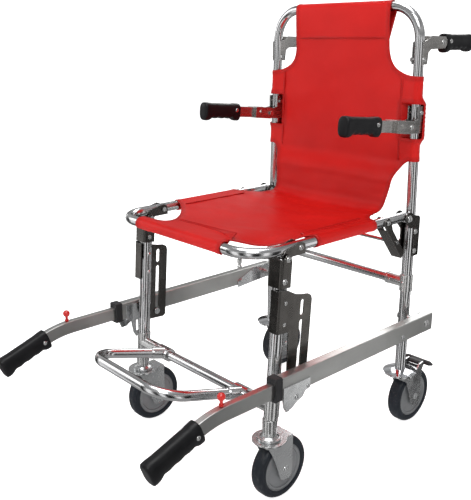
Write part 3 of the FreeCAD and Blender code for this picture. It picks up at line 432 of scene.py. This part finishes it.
def s_of(y, z):
    """Length along the profile at its place nearest to a point."""
    best, where = 1e9, 0.0
    for i in range(len(PS) - 1):
        a = np.array([PY[i], PZ[i]])
        b = np.array([PY[i + 1], PZ[i + 1]])
        t = float(np.clip(np.dot(np.array([y, z]) - a, b - a) / np.dot(b - a, b - a), 0, 1))
        gap = float(np.linalg.norm(a + (b - a) * t - np.array([y, z])))
        if gap < best:
            best, where = gap, PS[i] + t * (PS[i + 1] - PS[i])
    return where


S_BACK0 = s_of(-RHO, TOP_Z)
S_BACK1 = s_of(-RHO, BACK_LOW)
S_SEAT0 = s_of(SEAT_REAR, SEAT_TOP)
S_CREASE = s_of(*CREASE)
S_SEAT1 = s_of(FRONT_Y, SEAT_TOP)
S_END = float(PS[-1])
FLAP = 40.0
TUCK = 34.0
WRAP = math.pi * RHO
# Over the lifting handles' clamps the side sleeves stand out by this much at the side, and by
# this much more at the rear corner.
SWELL = 3.4
SWELL_CORNER = 4.1


def sb(z):
    """Length along the pattern at a height on the back."""
    return S_BACK0 + (TOP_Z - z)


def ss(y):
    """Length along the pattern at a place y on the seat."""
    return S_SEAT0 + (SEAT_REAR - y)


def smooth01(t):
    t = max(0.0, min(1.0, t))
    return t * t * (3 - 2 * t)


def at_profile(s):
    """Point and outward normal (the sitter's side) of the profile."""
    i = int(np.searchsorted(PS, s, side="right")) - 1
    i = max(0, min(len(PS) - 2, i))
    t = (s - PS[i]) / (PS[i + 1] - PS[i])
    y = PY[i] + (PY[i + 1] - PY[i]) * t
    z = PZ[i] + (PZ[i + 1] - PZ[i]) * t
    e = 3.0
    y0, y1 = np.interp([s - e, s + e], PS, PY)
    z0, z1 = np.interp([s - e, s + e], PS, PZ)
    dy, dz = y1 - y0, z1 - z0
    d = math.hypot(dy, dz) or 1.0
    return y, z, dz / d, -dy / d


def slack(s):
    """How far the middle of the sling hangs behind its tubes."""
    if s < S_BACK0:
        return 0.0
    if s < S_BACK1:
        return 11.0 * smooth01((s - S_BACK0) / 150.0)
    if s < S_SEAT0:
        return 11.0 + 3.0 * smooth01((s - S_BACK1) / (S_SEAT0 - S_BACK1))
    if s < S_SEAT1:
        return 14.0 * smooth01((S_SEAT1 - s) / 170.0)
    return 0.0


def ripple(u, s):
    """Soft unevenness of slack cloth: broad hollows, drawn lines from the sleeves' corners, a few creases."""
    big = noise.noise(Vector((u * 0.008, s * 0.008, 3.1))) * 2.3
    mid = noise.noise(Vector((u * 0.012, s * 0.030, 7.7))) * 1.1
    drawn = 0.0
    for cu, cs, slope, power in CORNERS:
        for side in (-1, 1):
            du = side * u - cu
            ds = s - cs
            reach = math.hypot(du, ds)
            line = ds - slope * du
            fade = math.exp(-reach / 95.0)
            drawn += 0.5 * power * fade * math.sin(line * 0.11 + side) * smooth01(reach / 18.0)
    crease = 0.0
    for cs, power, wander in CREASES:
        off = s - cs - wander * noise.noise(Vector((u * 0.011, cs * 0.1, 1.0)))
        crease += power * math.exp(-(off / 9.0) ** 2)
    return big + mid + drawn + crease


CREASES = [(S_CREASE - 48, -1.0, 9.0), (S_CREASE - 22, 0.9, 7.0), (S_CREASE + 34, -0.9, 14.0)]
# Where the sleeves' corners pull on the cloth: place on the pattern, slope of the lines, strength.
CORNERS = [
    (195.0, sb(774), -0.7, 0.9),
    (196.0, sb(606), 0.8, 1.2),
    (172.0, sb(686), 0.1, 0.6),
    (200.0, ss(-134), -0.5, 1.2),
    (198.0, ss(-303), 0.6, 1.0),
    (124.0, ss(-449), -0.9, 1.0),
]


def droop(u, y, cx):
    """How far the free edges of the seat's corner cut-outs hang below the tubes."""
    a = abs(u)
    middle, depth = (144.0, 15.0) if u > 0 else (106.0, 4.0)
    reach = ((a - middle) ** 2 + (y + 380.0) ** 2) / (2 * 38.0 ** 2)
    return depth * math.exp(-reach) * smooth01((cx - a) / 24.0) * smooth01((y - FRONT_Y) / 34.0)


def cloth_point(u, s, lift=0.0):
    """Place of the sling's flat pattern point (u across, s along), in chair millimetres."""
    y, z, ny, nz = at_profile(s)
    side = 1.0 if u >= 0 else -1.0
    a = abs(u)
    on_back = s < (S_BACK1 + S_SEAT0) / 2
    cx = column_x(max(KINK_Z, min(TOP_Z, z))) if on_back else LEG_X
    sleeve_here = (S_BACK0 + 100 < s < S_BACK1 + 3) or (S_SEAT0 + 40 < s < S_SEAT1 - 100)
    if a <= cx or not sleeve_here:
        share = max(0.0, 1.0 - (a / cx) ** 2)
        free = smooth01((cx - a) / 45.0)
        near_top = smooth01((s - S_BACK0) / 60.0) * smooth01((S_SEAT1 - s) / 60.0)
        back = slack(s) * share ** 0.8 - ripple(u, s) * free * near_top
        d = lift - back
        if not on_back:
            d -= droop(u, y, cx)
        return Vector((u, y + ny * d, z + nz * d))
    e = a - cx
    r = RHO + lift
    swell = smooth01((z - 636) / 18) * smooth01((736 - z) / 18) if on_back else 0.0
    if e <= WRAP:
        phi = e / RHO
        square = math.sin(2 * phi) ** 2 if phi > math.pi / 2 else 0.0
        r += swell * (SWELL * smooth01(phi / 1.4) + SWELL_CORNER * square)
        across, out = math.sin(phi) * r, math.cos(phi) * r
    else:
        t = (e - WRAP) / FLAP
        across = -TUCK * t
        out = -(RHO + lift + SWELL * swell) + (2 * RHO - 2.4 + SWELL * swell) * smooth01(t)
    if on_back:
        return Vector((side * (cx + across), -out, z))
    return Vector((side * (cx + across), y, SEAT_Z + out))


def curve_through(points):
    """Smooth line through every point of a run of the cut's edge."""
    pts = [np.array(p, float) for p in points]
    return catmull([2 * pts[0] - pts[1]] + pts + [2 * pts[-1] - pts[-2]], 4.0)


def straight(p, q, step=5.0):
    p, q = np.array(p, float), np.array(q, float)
    n = max(1, int(np.linalg.norm(q - p) / step))
    return [p + (q - p) * k / n for k in range(n + 1)]


def full(z):
    """Half width of the flat pattern at a side sleeve of the back."""
    return column_x(z) + WRAP + FLAP


FULL_SEAT = LEG_X + WRAP + FLAP
SLEEVE_TOP = 773
SLEEVE_FOOT = 605
SEAT_SLEEVE_REAR = -132
SEAT_SLEEVE_FRONT = -305
scoop = curve_through([(128, sb(842)), (129, sb(823)), (134, sb(805)), (145, sb(791)), (159, sb(782.5)),
                       (176, sb(777)), (194, sb(774.5))])
waist = curve_through([(194, sb(604.5)), (185, s_of(-12.3, 600)), (178, s_of(-16.0, 592.5)),
                       (171.5, s_of(-24.0, 580)), (166.8, s_of(-30.5, 565)), (163, s_of(-34.6, 546)),
                       (159, s_of(-39.0, 520)), (155.5, S_CREASE + 1), (156, ss(-64)), (160, ss(-77)),
                       (166, ss(-90)), (174, ss(-103)), (185, ss(-117)), (201, ss(-131.5))])
CORNER_CUT = [(185, -313), (165, -331), (146, -350), (128, -368), (111, -387), (96, -405), (85, -421),
              (83, -435), (95, -445)]


def corner_cut(shift):
    """Cut-out at a front corner of the seat. The sling sits off centre, so the two differ."""
    run = [(u + shift * smooth01((203 - u) / 60), ss(y)) for u, y in CORNER_CUT]
    return curve_through([(200, ss(-305.5))] + run + [(125, ss(-449))])


S_UNDER = s_of(FRONT_Y, SEAT_Z - RHO)


def half_outline(corner, hem):
    """One half of the flat pattern's edge, from the top hem to a front hem of that half width."""
    run = straight((128, 0), (128, sb(842)))
    run += scoop[1:]
    top = (full(SLEEVE_TOP), sb(SLEEVE_TOP))
    foot = (full(SLEEVE_FOOT), sb(SLEEVE_FOOT - 1))
    rear = (FULL_SEAT, ss(SEAT_SLEEVE_REAR))
    front = (FULL_SEAT, ss(SEAT_SLEEVE_FRONT))
    run += straight((194, sb(774.5)), top)[1:]
    run += straight(top, foot)[1:]
    run += straight(foot, (194, sb(604.5)))[1:]
    run += waist[1:]
    run += straight((201, ss(-131.5)), rear)[1:]
    run += straight(rear, front)[1:]
    run += straight(front, (200, ss(-305.5)))[1:]
    run += corner[1:]
    run += straight((125, ss(-449)), (127, S_UNDER - 4))[1:]
    run += straight((127, S_UNDER - 4), (hem, S_UNDER + 12))[1:]
    run += straight((hem, S_UNDER + 12), (hem, S_END))[1:]
    return run


left_corner = corner_cut(30)
right_corner = corner_cut(-14)
right = half_outline(left_corner, 106)
left = [np.array([-p[0], p[1]]) for p in reversed(half_outline(right_corner, 63))]
outline = np.array(right + left)
keep = [0]
for i in range(1, len(outline)):
    if np.linalg.norm(outline[i] - outline[keep[-1]]) > 0.8:
        keep.append(i)
if np.linalg.norm(outline[keep[-1]] - outline[0]) < 0.8:
    keep.pop()
outline = outline[keep]


WINDOW_TOP = 720
WINDOW_FOOT = 651


def window(side):
    """Opening in the front of a side sleeve, where the lifting handle's clamp comes through."""
    near, far = 165.0, column_x(686) + RHO * math.radians(104)
    high, low = sb(WINDOW_TOP), sb(WINDOW_FOOT)
    run = straight((near, high + 3), (near, low - 3)) + straight((near + 3, low), (far - 3, low))
    run += straight((far, low - 3), (far, high + 3)) + straight((far - 3, high), (near + 3, high))
    return np.array([(side * p[0], p[1]) for p in run])


windows = [window(1), window(-1)]


def edge_gap(points):
    """Distance from each flat point to the cut's edge."""
    best = np.full(len(points), 1e9)
    runs = [outline] + windows
    pairs = [pair for run in runs for pair in zip(run, np.roll(run, -1, axis=0))]
    for a, b in pairs:
        d = b - a
        t = np.clip(((points - a) @ d) / (d @ d), 0, 1)
        gap = np.linalg.norm(points - (a + t[:, None] * d), axis=1)
        best = np.minimum(best, gap)
    return best


def within(run, points):
    hit = np.zeros(len(points), bool)
    for a, b in zip(run, np.roll(run, -1, axis=0)):
        if a[1] == b[1]:
            continue
        cross = (a[1] > points[:, 1]) != (b[1] > points[:, 1])
        x = (b[0] - a[0]) * (points[:, 1] - a[1]) / (b[1] - a[1]) + a[0]
        hit ^= cross & (points[:, 0] < x)
    return hit


def inside(points):
    hit = within(outline, points)
    for run in windows:
        hit &= ~within(run, points)
    return hit


CELL = 5.0
ROW = CELL * 0.866
rows = []
count = int(S_END / ROW) + 1
for j in range(count):
    s = (j + 0.5) * S_END / count
    shift = CELL / 2 if j % 2 else 0.0
    for i in range(-60, 61):
        rows.append((i * CELL + shift, s))
grid = np.array(rows)
grid = grid[inside(grid)]
grid = grid[edge_gap(grid) > 2.4]
flat_points = [Vector((float(p[0]), float(p[1]))) for p in np.vstack([outline] + windows + [grid])]
loop = list(range(len(outline)))
rims = []
start = len(outline)
for run in windows:
    rims += [(start + i, start + (i + 1) % len(run)) for i in range(len(run))]
    start += len(run)
result = delaunay_2d_cdt(flat_points, rims, [loop], 1, 1e-4)
flat_points, faces = result[0], result[2]
flat = np.array([(p.x, p.y) for p in flat_points])
middles = np.array([flat[list(f)].mean(axis=0) for f in faces])
whole = inside(middles)
faces = [f for f, ok in zip(faces, whole) if ok]
gaps = edge_gap(flat)
HEM = 9.0
points = []
for (u, s), gap in zip(flat, gaps):
    lift = 0.35 if gap < HEM else 0.0
    c = cloth_point(float(u), float(s), lift)
    points.append(P(c.x, c.y, c.z))
sling = mesh_object("sling_cloth", points, [tuple(f) for f in faces])
uv = sling.data.uv_layers.new(name="flat")
order = np.zeros(len(sling.data.loops), int)
sling.data.loops.foreach_get("vertex_index", order)
uv.data.foreach_set("uv", (flat[order] * MM).ravel())
mark = sling.data.attributes.new("edge", "FLOAT", "POINT")
mark.data.foreach_set("value", np.clip((HEM + 1.5 - gaps) / 3.0, 0, 1).astype(np.float32))
group = sling.vertex_groups.new(name="hem")
for i, gap in enumerate(gaps):
    group.add([i], 1.0 if gap < HEM else 0.62, "REPLACE")
face_outward(sling.data)
thick = sling.modifiers.new("thickness", "SOLIDIFY")
thick.thickness = 1.5 * MM
thick.offset = 0.0
thick.vertex_group = "hem"
thick.use_even_offset = True
sling.data.materials.append(vinyl)


# ------------------------------------------------------------------ stitches


STITCH_PITCH = 4.6
STITCH_LONG = 3.2


def stitch_run(run):
    """Start, end and outward direction of each stitch along a flat line of the sling."""
    pts = [np.array(p, float) for p in run]
    lengths = [0.0]
    for a, b in zip(pts, pts[1:]):
        lengths.append(lengths[-1] + float(np.linalg.norm(b - a)))
    out = []
    n = int(lengths[-1] / STITCH_PITCH)
    us = [p[0] for p in pts]
    vs = [p[1] for p in pts]
    for k in range(n):
        at = (k + 0.5) * STITCH_PITCH
        ends = []
        for d in (-STITCH_LONG / 2, 0, STITCH_LONG / 2):
            u = float(np.interp(at + d, lengths, us))
            s = float(np.interp(at + d, lengths, vs))
            ends.append(cloth_point(u, s, 0.6))
        base = cloth_point(float(np.interp(at, lengths, us)), float(np.interp(at, lengths, vs)), 0.0)
        out.append((ends[0], ends[2], ends[1] - base))
    return out


def offset_run(run, inset):
    """The run moved in from the cut's edge."""
    pts = [np.array(p, float) for p in run]
    out = []
    for i in range(1, len(pts) - 1):
        d = pts[i + 1] - pts[i - 1]
        d /= np.linalg.norm(d) or 1.0
        out.append(pts[i] + np.array([-d[1], d[0]]) * inset)
    return out


def mirrored_run(run):
    return [np.array([-p[0], p[1]]) for p in run]


runs = []
right_edges = [mirrored_run(run) for run in (scoop, waist, right_corner)]
for run in [scoop, waist, left_corner] + right_edges:
    inner = offset_run(run, 7.0)
    if not inside(np.array([inner[len(inner) // 2]]))[0]:
        inner = offset_run(run, -7.0)
    runs.append(inner)
for s in (sb(850), sb(846)):
    runs.append(straight((-124, s), (124, s)))
for s in (ss(FRONT_Y + 52), ss(FRONT_Y + 48)):
    runs.append(straight((-58, s), (88, s)))
for inset in (34.0, 30.0):
    for z0, z1 in ((768, 726), (645, 608)):
        run = straight((column_x(z0) - inset, sb(z0)), (column_x(z1) - inset, sb(z1)))
        runs += [run, mirrored_run(run)]
    run = straight((LEG_X - inset, ss(-136)), (LEG_X - inset, ss(-301)))
    runs += [run, mirrored_run(run)]
for s in (sb(WINDOW_TOP) - 6, sb(WINDOW_FOOT) + 6):
    run = straight((170, s), (214, s))
    runs += [run, mirrored_run(run)]
run = straight((159, sb(717)), (159, sb(654)))
runs += [run, mirrored_run(run)]

verts, tris = [], []
for run in runs:
    for a, b, up in stitch_run(run):
        ahead = (b - a).normalized()
        up = up.normalized()
        out = ahead.cross(up)
        base = len(verts)
        for t, r in ((0.0, 0.16), (0.25, 0.42), (0.75, 0.42), (1.0, 0.16)):
            c = a.lerp(b, t) + up * (0.28 if 0 < t < 1 else -0.05)
            for k in range(6):
                q = math.radians(60 * k)
                v = c + out * (math.cos(q) * r) + up * (math.sin(q) * r * 0.8)
                verts.append(P(v.x, v.y, v.z))
        for ring in range(3):
            for k in range(6):
                i0 = base + ring * 6 + k
                i1 = base + ring * 6 + (k + 1) % 6
                tris.append((i0, i1, i1 + 6, i0 + 6))
        tris.append(tuple(base + k for k in reversed(range(6))))
        tris.append(tuple(base + 18 + k for k in range(6)))
stitches = mesh_object("sling_stitching", verts, tris)
stitches.data.materials.append(thread)

for piece in (sling, stitches):
    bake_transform(piece)
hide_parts("back_panel", "seat_panel")

# ------------------------------------------------------------------ moulded grips


def grip(name, node, body, origin, along, up, profile, pin_at):
    """Lofted hand grip: rounded sections with finger swells under it and a flared end.
    profile rows are (place along, half width, top, bottom)."""
    along = Vector(along).normalized()
    up = Vector(up).normalized()
    out = along.cross(up).normalized()
    us = [p[0] for p in profile]
    verts, faces = [], []
    around = 40
    stations = 84
    rings = []
    for i in range(stations + 1):
        t = i / stations
        u = us[0] + (us[-1] - us[0]) * t
        rings.append([u] + [np.interp(u, us, [p[k] for p in profile]) for k in (1, 2, 3)])
    smooth = []
    for i, ring in enumerate(rings):
        lo, hi = max(0, i - 2), min(len(rings), i + 3)
        mean = np.mean(np.array(rings[lo:hi]), axis=0)
        smooth.append((ring[0], mean[1], mean[2], mean[3]))
    caps = []
    for k, shrink in ((0.0, 0.80), (0.35, 0.93), (1.2, 0.985)):
        u, w, h, b = smooth[0]
        caps.append((u + k, w * shrink, h * shrink, b * shrink))
    ends = []
    u, w, h, b = smooth[-1]
    for k, shrink in ((0.4, 0.985), (1.5, 0.94), (2.4, 0.86), (3.0, 0.74), (3.2, 0.4)):
        ends.append((u + k, w * shrink, h * shrink, b * shrink))
    everything = caps + smooth[2:] + ends
    for u, w, h, b in everything:
        c = origin + along * u
        for k in range(around):
            q = 2 * math.pi * k / around
            cx, cz = math.cos(q), math.sin(q)
            power = 2.0 / 2.9
            x = math.copysign(abs(cx) ** power, cx) * w
            z = math.copysign(abs(cz) ** power, cz) * (h if cz > 0 else b)
            v = c + out * x + up * z
            verts.append(P(v.x, v.y, v.z))
    n = len(everything)
    for i in range(n - 1):
        for k in range(around):
            a = i * around + k
            b2 = i * around + (k + 1) % around
            faces.append((a, b2, b2 + around, a + around))
    faces.append(tuple(range(around))[::-1])
    faces.append(tuple((n - 1) * around + k for k in range(around)))
    obj = mesh_object(name, verts, faces)
    face_outward(obj.data)
    obj.data.materials.append(grip_black)
    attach(obj, body)
    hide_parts(node)
    for sign in (-1, 1):
        c = origin + along * pin_at[0] + up * pin_at[1]
        place = "_rivet_out" if sign > 0 else "_rivet_in"
        rivet(name + place, c, Vector((sign, 0, 0)), pin_at[2], 4.4, body)


def rivet(name, centre, way, offset, r, body):
    """Domed rivet head with a thin rolled rim."""
    rows = [(0.0, -1.5), (r, -1.5), (r, 0.35), (r * 0.93, 0.75), (r * 0.72, 1.25), (r * 0.4, 1.7),
            (r * 0.12, 1.85), (0.0, 1.87)]
    way = Vector(way).normalized()
    a = Vector((0, 0, 1)) if abs(way.z) < 0.9 else Vector((0, 1, 0))
    a = (a - way * a.dot(way)).normalized()
    b = way.cross(a)
    verts, faces = [], []
    for radius, h in rows:
        for k in range(28):
            q = 2 * math.pi * k / 28
            v = centre + way * (offset + h) + (a * math.cos(q) + b * math.sin(q)) * max(radius, 0.01)
            verts.append(P(v.x, v.y, v.z))
    for i in range(len(rows) - 1):
        for k in range(28):
            p = i * 28 + k
            q2 = i * 28 + (k + 1) % 28
            faces.append((p, q2, q2 + 28, p + 28))
    obj = mesh_object(name, verts, faces)
    obj.data.materials.append(bolt_metal)
    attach(obj, body)


def fingers(start, span, count, depth, swell):
    """Rows of (place, bottom) for finger hollows between low swells."""
    rows = []
    for i in range(count * 6 + 1):
        t = i / (count * 6)
        rows.append((start + span * t, depth + swell * (0.5 - 0.5 * math.cos(2 * math.pi * count * t))))
    return rows


def grip_rows(first, length, width, top, deep, foot, flare, count):
    """Side profile of a grip: a flange, finger hollows, and a flared end."""
    rows = [(first, width, top, foot), (first + 10, width, top, foot),
            (first + 15, width * 0.97, top, deep + 3)]
    for u, b in fingers(first + 20, length - 44, count, deep - 1.4, 1.8):
        rows.append((u, width * 0.97, top - 1.0, b))
    end = first + length
    rows += [(end - 18, width * 0.98, top - 0.6, flare - 2), (end - 12, width, top, flare),
             (end - 5, width, top, flare), (end - 3.4, width * 0.98, top - 0.8, flare - 1.2)]
    return rows


BAR_DROP = math.radians(20.0)
LOW_TILT = math.radians(4.8)
LOW_Y = -34.0
LOW_Z = 677.0
LOW_REACH = 95.0
HIGH_Y = 82
HIGH_Z = 839
BAR_X = 247.0
TAIL_Y = -560.0 - 200.0 * math.sin(BAR_DROP)
TAIL_Z = 260.0 - 200.0 * (1 - math.cos(BAR_DROP))
low_along = (0, -math.cos(LOW_TILT), math.sin(LOW_TILT))
low_up = (0, math.sin(LOW_TILT), math.cos(LOW_TILT))
tail_along = (0, -math.cos(BAR_DROP), -math.sin(BAR_DROP))
tail_up = (0, -math.sin(BAR_DROP), math.cos(BAR_DROP))


def middle_x(node):
    lo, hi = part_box(node)
    return (lo.x + hi.x) / 2 / MM


for name, side in (("left", 1), ("right", -1)):
    grip("grip_carry_" + name, "handle_grip_" + name, "handle_" + name,
         Vector((side * BAR_X, TAIL_Y, TAIL_Z)), tail_along, tail_up,
         grip_rows(-9, 110, 14.4, 19.5, 18.6, 23.0, 24.0, 3), (3.0, -1.5, 14.0))
    low_root = Vector((middle_x("lower_handle_tang_" + name), LOW_Y - LOW_REACH * math.cos(LOW_TILT),
                       LOW_Z + 1.0 + LOW_REACH * math.sin(LOW_TILT)))
    grip("grip_lower_" + name, "lower_handle_grip_" + name, "lower_handle_" + name, low_root,
         low_along, low_up, grip_rows(0, 103, 13.4, 18.0, 16.4, 21.0, 21.5, 3), (12.0, 3.0, 13.0))
    high_root = Vector((middle_x("upper_handle_tang_" + name), HIGH_Y, HIGH_Z))
    grip("grip_upper_" + name, "upper_handle_grip_" + name, "upper_handle_" + name, high_root,
         (0, 1, 0), (0, 0, 1), grip_rows(0, 100, 13.4, 17.5, 15.6, 20.5, 19.5, 3), (12.0, 2.0, 13.0))

# ------------------------------------------------------------------ light and floor


def area_light(name, place, target, size, power):
    """Square light at a place, turned to a target."""
    data = bpy.data.lights.new(name, "AREA")
    data.energy = power
    data.size = size
    obj = link(bpy.data.objects.new(name, data))
    obj.location = place
    obj.rotation_euler = (Vector(target) - Vector(place)).to_track_quat("-Z", "Y").to_euler()


area_light("key", (1.6, -1.9, 3.0), (0, 0, 0.5), 1.5, 47)
area_light("top", (-0.2, -0.1, 3.2), (0, 0, 0.4), 2.0, 41)
area_light("fill", (-2.6, -1.6, 1.6), (0, 0, 0.5), 1.6, 14)
area_light("rim", (-1.2, 2.6, 2.2), (0, 0, 0.6), 1.4, 24)

world = bpy.data.worlds.new("studio")
bpy.context.scene.world = world
world.use_nodes = True
wt = world.node_tree
sky = wt.nodes["Background"]
sky.inputs["Strength"].default_value = 0.62
coord = wt.nodes.new("ShaderNodeTexCoord")
split = wt.nodes.new("ShaderNodeSeparateXYZ")
ramp = wt.nodes.new("ShaderNodeValToRGB")
lifted = wt.nodes.new("ShaderNodeMapRange")
lifted.inputs["From Min"].default_value = -1.0
lifted.inputs["From Max"].default_value = 1.0
wt.links.new(coord.outputs["Generated"], split.inputs["Vector"])
wt.links.new(split.outputs["Z"], lifted.inputs["Value"])
wt.links.new(lifted.outputs["Result"], ramp.inputs["Fac"])
wt.links.new(ramp.outputs["Color"], sky.inputs["Color"])
ramp.color_ramp.elements[0].position = 0.0
ramp.color_ramp.elements[0].color = (0.62, 0.62, 0.62, 1)
ramp.color_ramp.elements[1].position = 1.0
ramp.color_ramp.elements[1].color = (0.90, 0.91, 0.93, 1)
# Bright and dim bands of the studio, from the floor up.
BANDS = ((0.45, 0.55), (0.49, 0.25), (0.53, 1.0), (0.60, 0.34), (0.72, 0.75), (0.82, 0.36))
for place, value in BANDS:
    stop = ramp.color_ramp.elements.new(place)
    stop.color = (value, value, value, 1)


def stage_material(name, scale, detail, dark, pale, rough, specular, glow):
    """Surface of the studio itself: a faintly clouded tone that may glow white."""
    n = Nodes(name)
    n.link(n.blend(n.ranged(n.noise(scale, detail), 0.0, 1.0), (dark,) * 3, (pale,) * 3),
           n.bsdf.inputs["Base Color"])
    n.put("Roughness", rough)
    n.put("Specular IOR Level", specular)
    n.put("Emission Color", (1.0, 1.0, 1.0, 1.0))
    n.put("Emission Strength", glow)
    return n.mat


PALE = (1.3, 3.0, 0.88, 0.90, 0.8, 0.1)
CARD = (3.0, 2.0, 0.012, 0.03, 0.9, 0.0)
REACH = 14.0
corners = [(-REACH, -REACH, 0), (REACH, -REACH, 0), (REACH, REACH, 0), (-REACH, REACH, 0)]
floor = mesh_object("floor", corners, [(0, 1, 2, 3)], False)
floor.data.materials.append(stage_material("pale_floor", *PALE, 0.85))
floor.visible_glossy = False

# A plain pale sweep stands behind the chair on every side. Bright metal does not mirror it.
verts, faces = [], []
steps = 64
radius = REACH * 0.95
for i in range(steps):
    a = 2 * math.pi * i / steps
    for z in (-0.01, 9.0):
        verts.append((radius * math.cos(a), radius * math.sin(a), z))
for i in range(steps):
    j = (i + 1) % steps
    faces.append((2 * i, 2 * j, 2 * j + 1, 2 * i + 1))
sweep = mesh_object("backdrop", verts, faces)
sweep.data.materials.append(stage_material("pale_backdrop", *PALE, 1.0))
sweep.visible_glossy = False
sweep.visible_diffuse = False
sweep.visible_shadow = False

# Dark and bright cards that only reflections meet, as a studio stands them round bright metal.
dark_card = stage_material("dark_card", *CARD, 0.0)
bright_card = stage_material("bright_card", *CARD, 1.05)
CARDS = [
    # place round the chair and width in degrees, foot and head in metres, how far out, material
    (20, 26, -1.3, 0.95, 2.3, dark_card),
    (62, 18, -1.2, 0.80, 2.1, dark_card),
    (100, 30, -1.3, 1.00, 2.2, dark_card),
    (150, 26, -1.3, 0.90, 2.3, dark_card),
    (198, 20, -1.2, 0.95, 2.2, dark_card),
    (236, 16, -1.2, 0.85, 2.1, dark_card),
    (282, 12, -1.2, 1.00, 2.3, dark_card),
    (322, 22, -1.3, 0.90, 2.2, dark_card),
    (44, 10, -1.2, 1.10, 2.6, bright_card),
    (80, 8, -1.2, 1.10, 2.6, bright_card),
    (172, 9, -1.2, 1.10, 2.6, bright_card),
    (218, 12, -1.2, 1.20, 2.6, bright_card),
    (260, 20, -1.4, 1.20, 2.6, bright_card),
    (301, 12, -1.4, 1.20, 2.6, bright_card),
    (350, 16, -1.3, 1.20, 2.6, bright_card),
]
for k, (turn, wide, low, high, far, material) in enumerate(CARDS):
    verts, faces = [], []
    steps = 10
    for i in range(steps + 1):
        a = math.radians(turn + wide * (i / steps - 0.5))
        for z in (low, high):
            verts.append((far * math.cos(a), far * math.sin(a), z))
    for i in range(steps):
        faces.append((2 * i, 2 * i + 2, 2 * i + 3, 2 * i + 1))
    obj = mesh_object("card_%d" % k, verts, faces)
    obj.data.materials.append(material)
    obj.visible_camera = False
    obj.visible_diffuse = False
    obj.visible_shadow = False
    obj.visible_transmission = False

bpy.context.scene.view_settings.view_transform = "Standard"
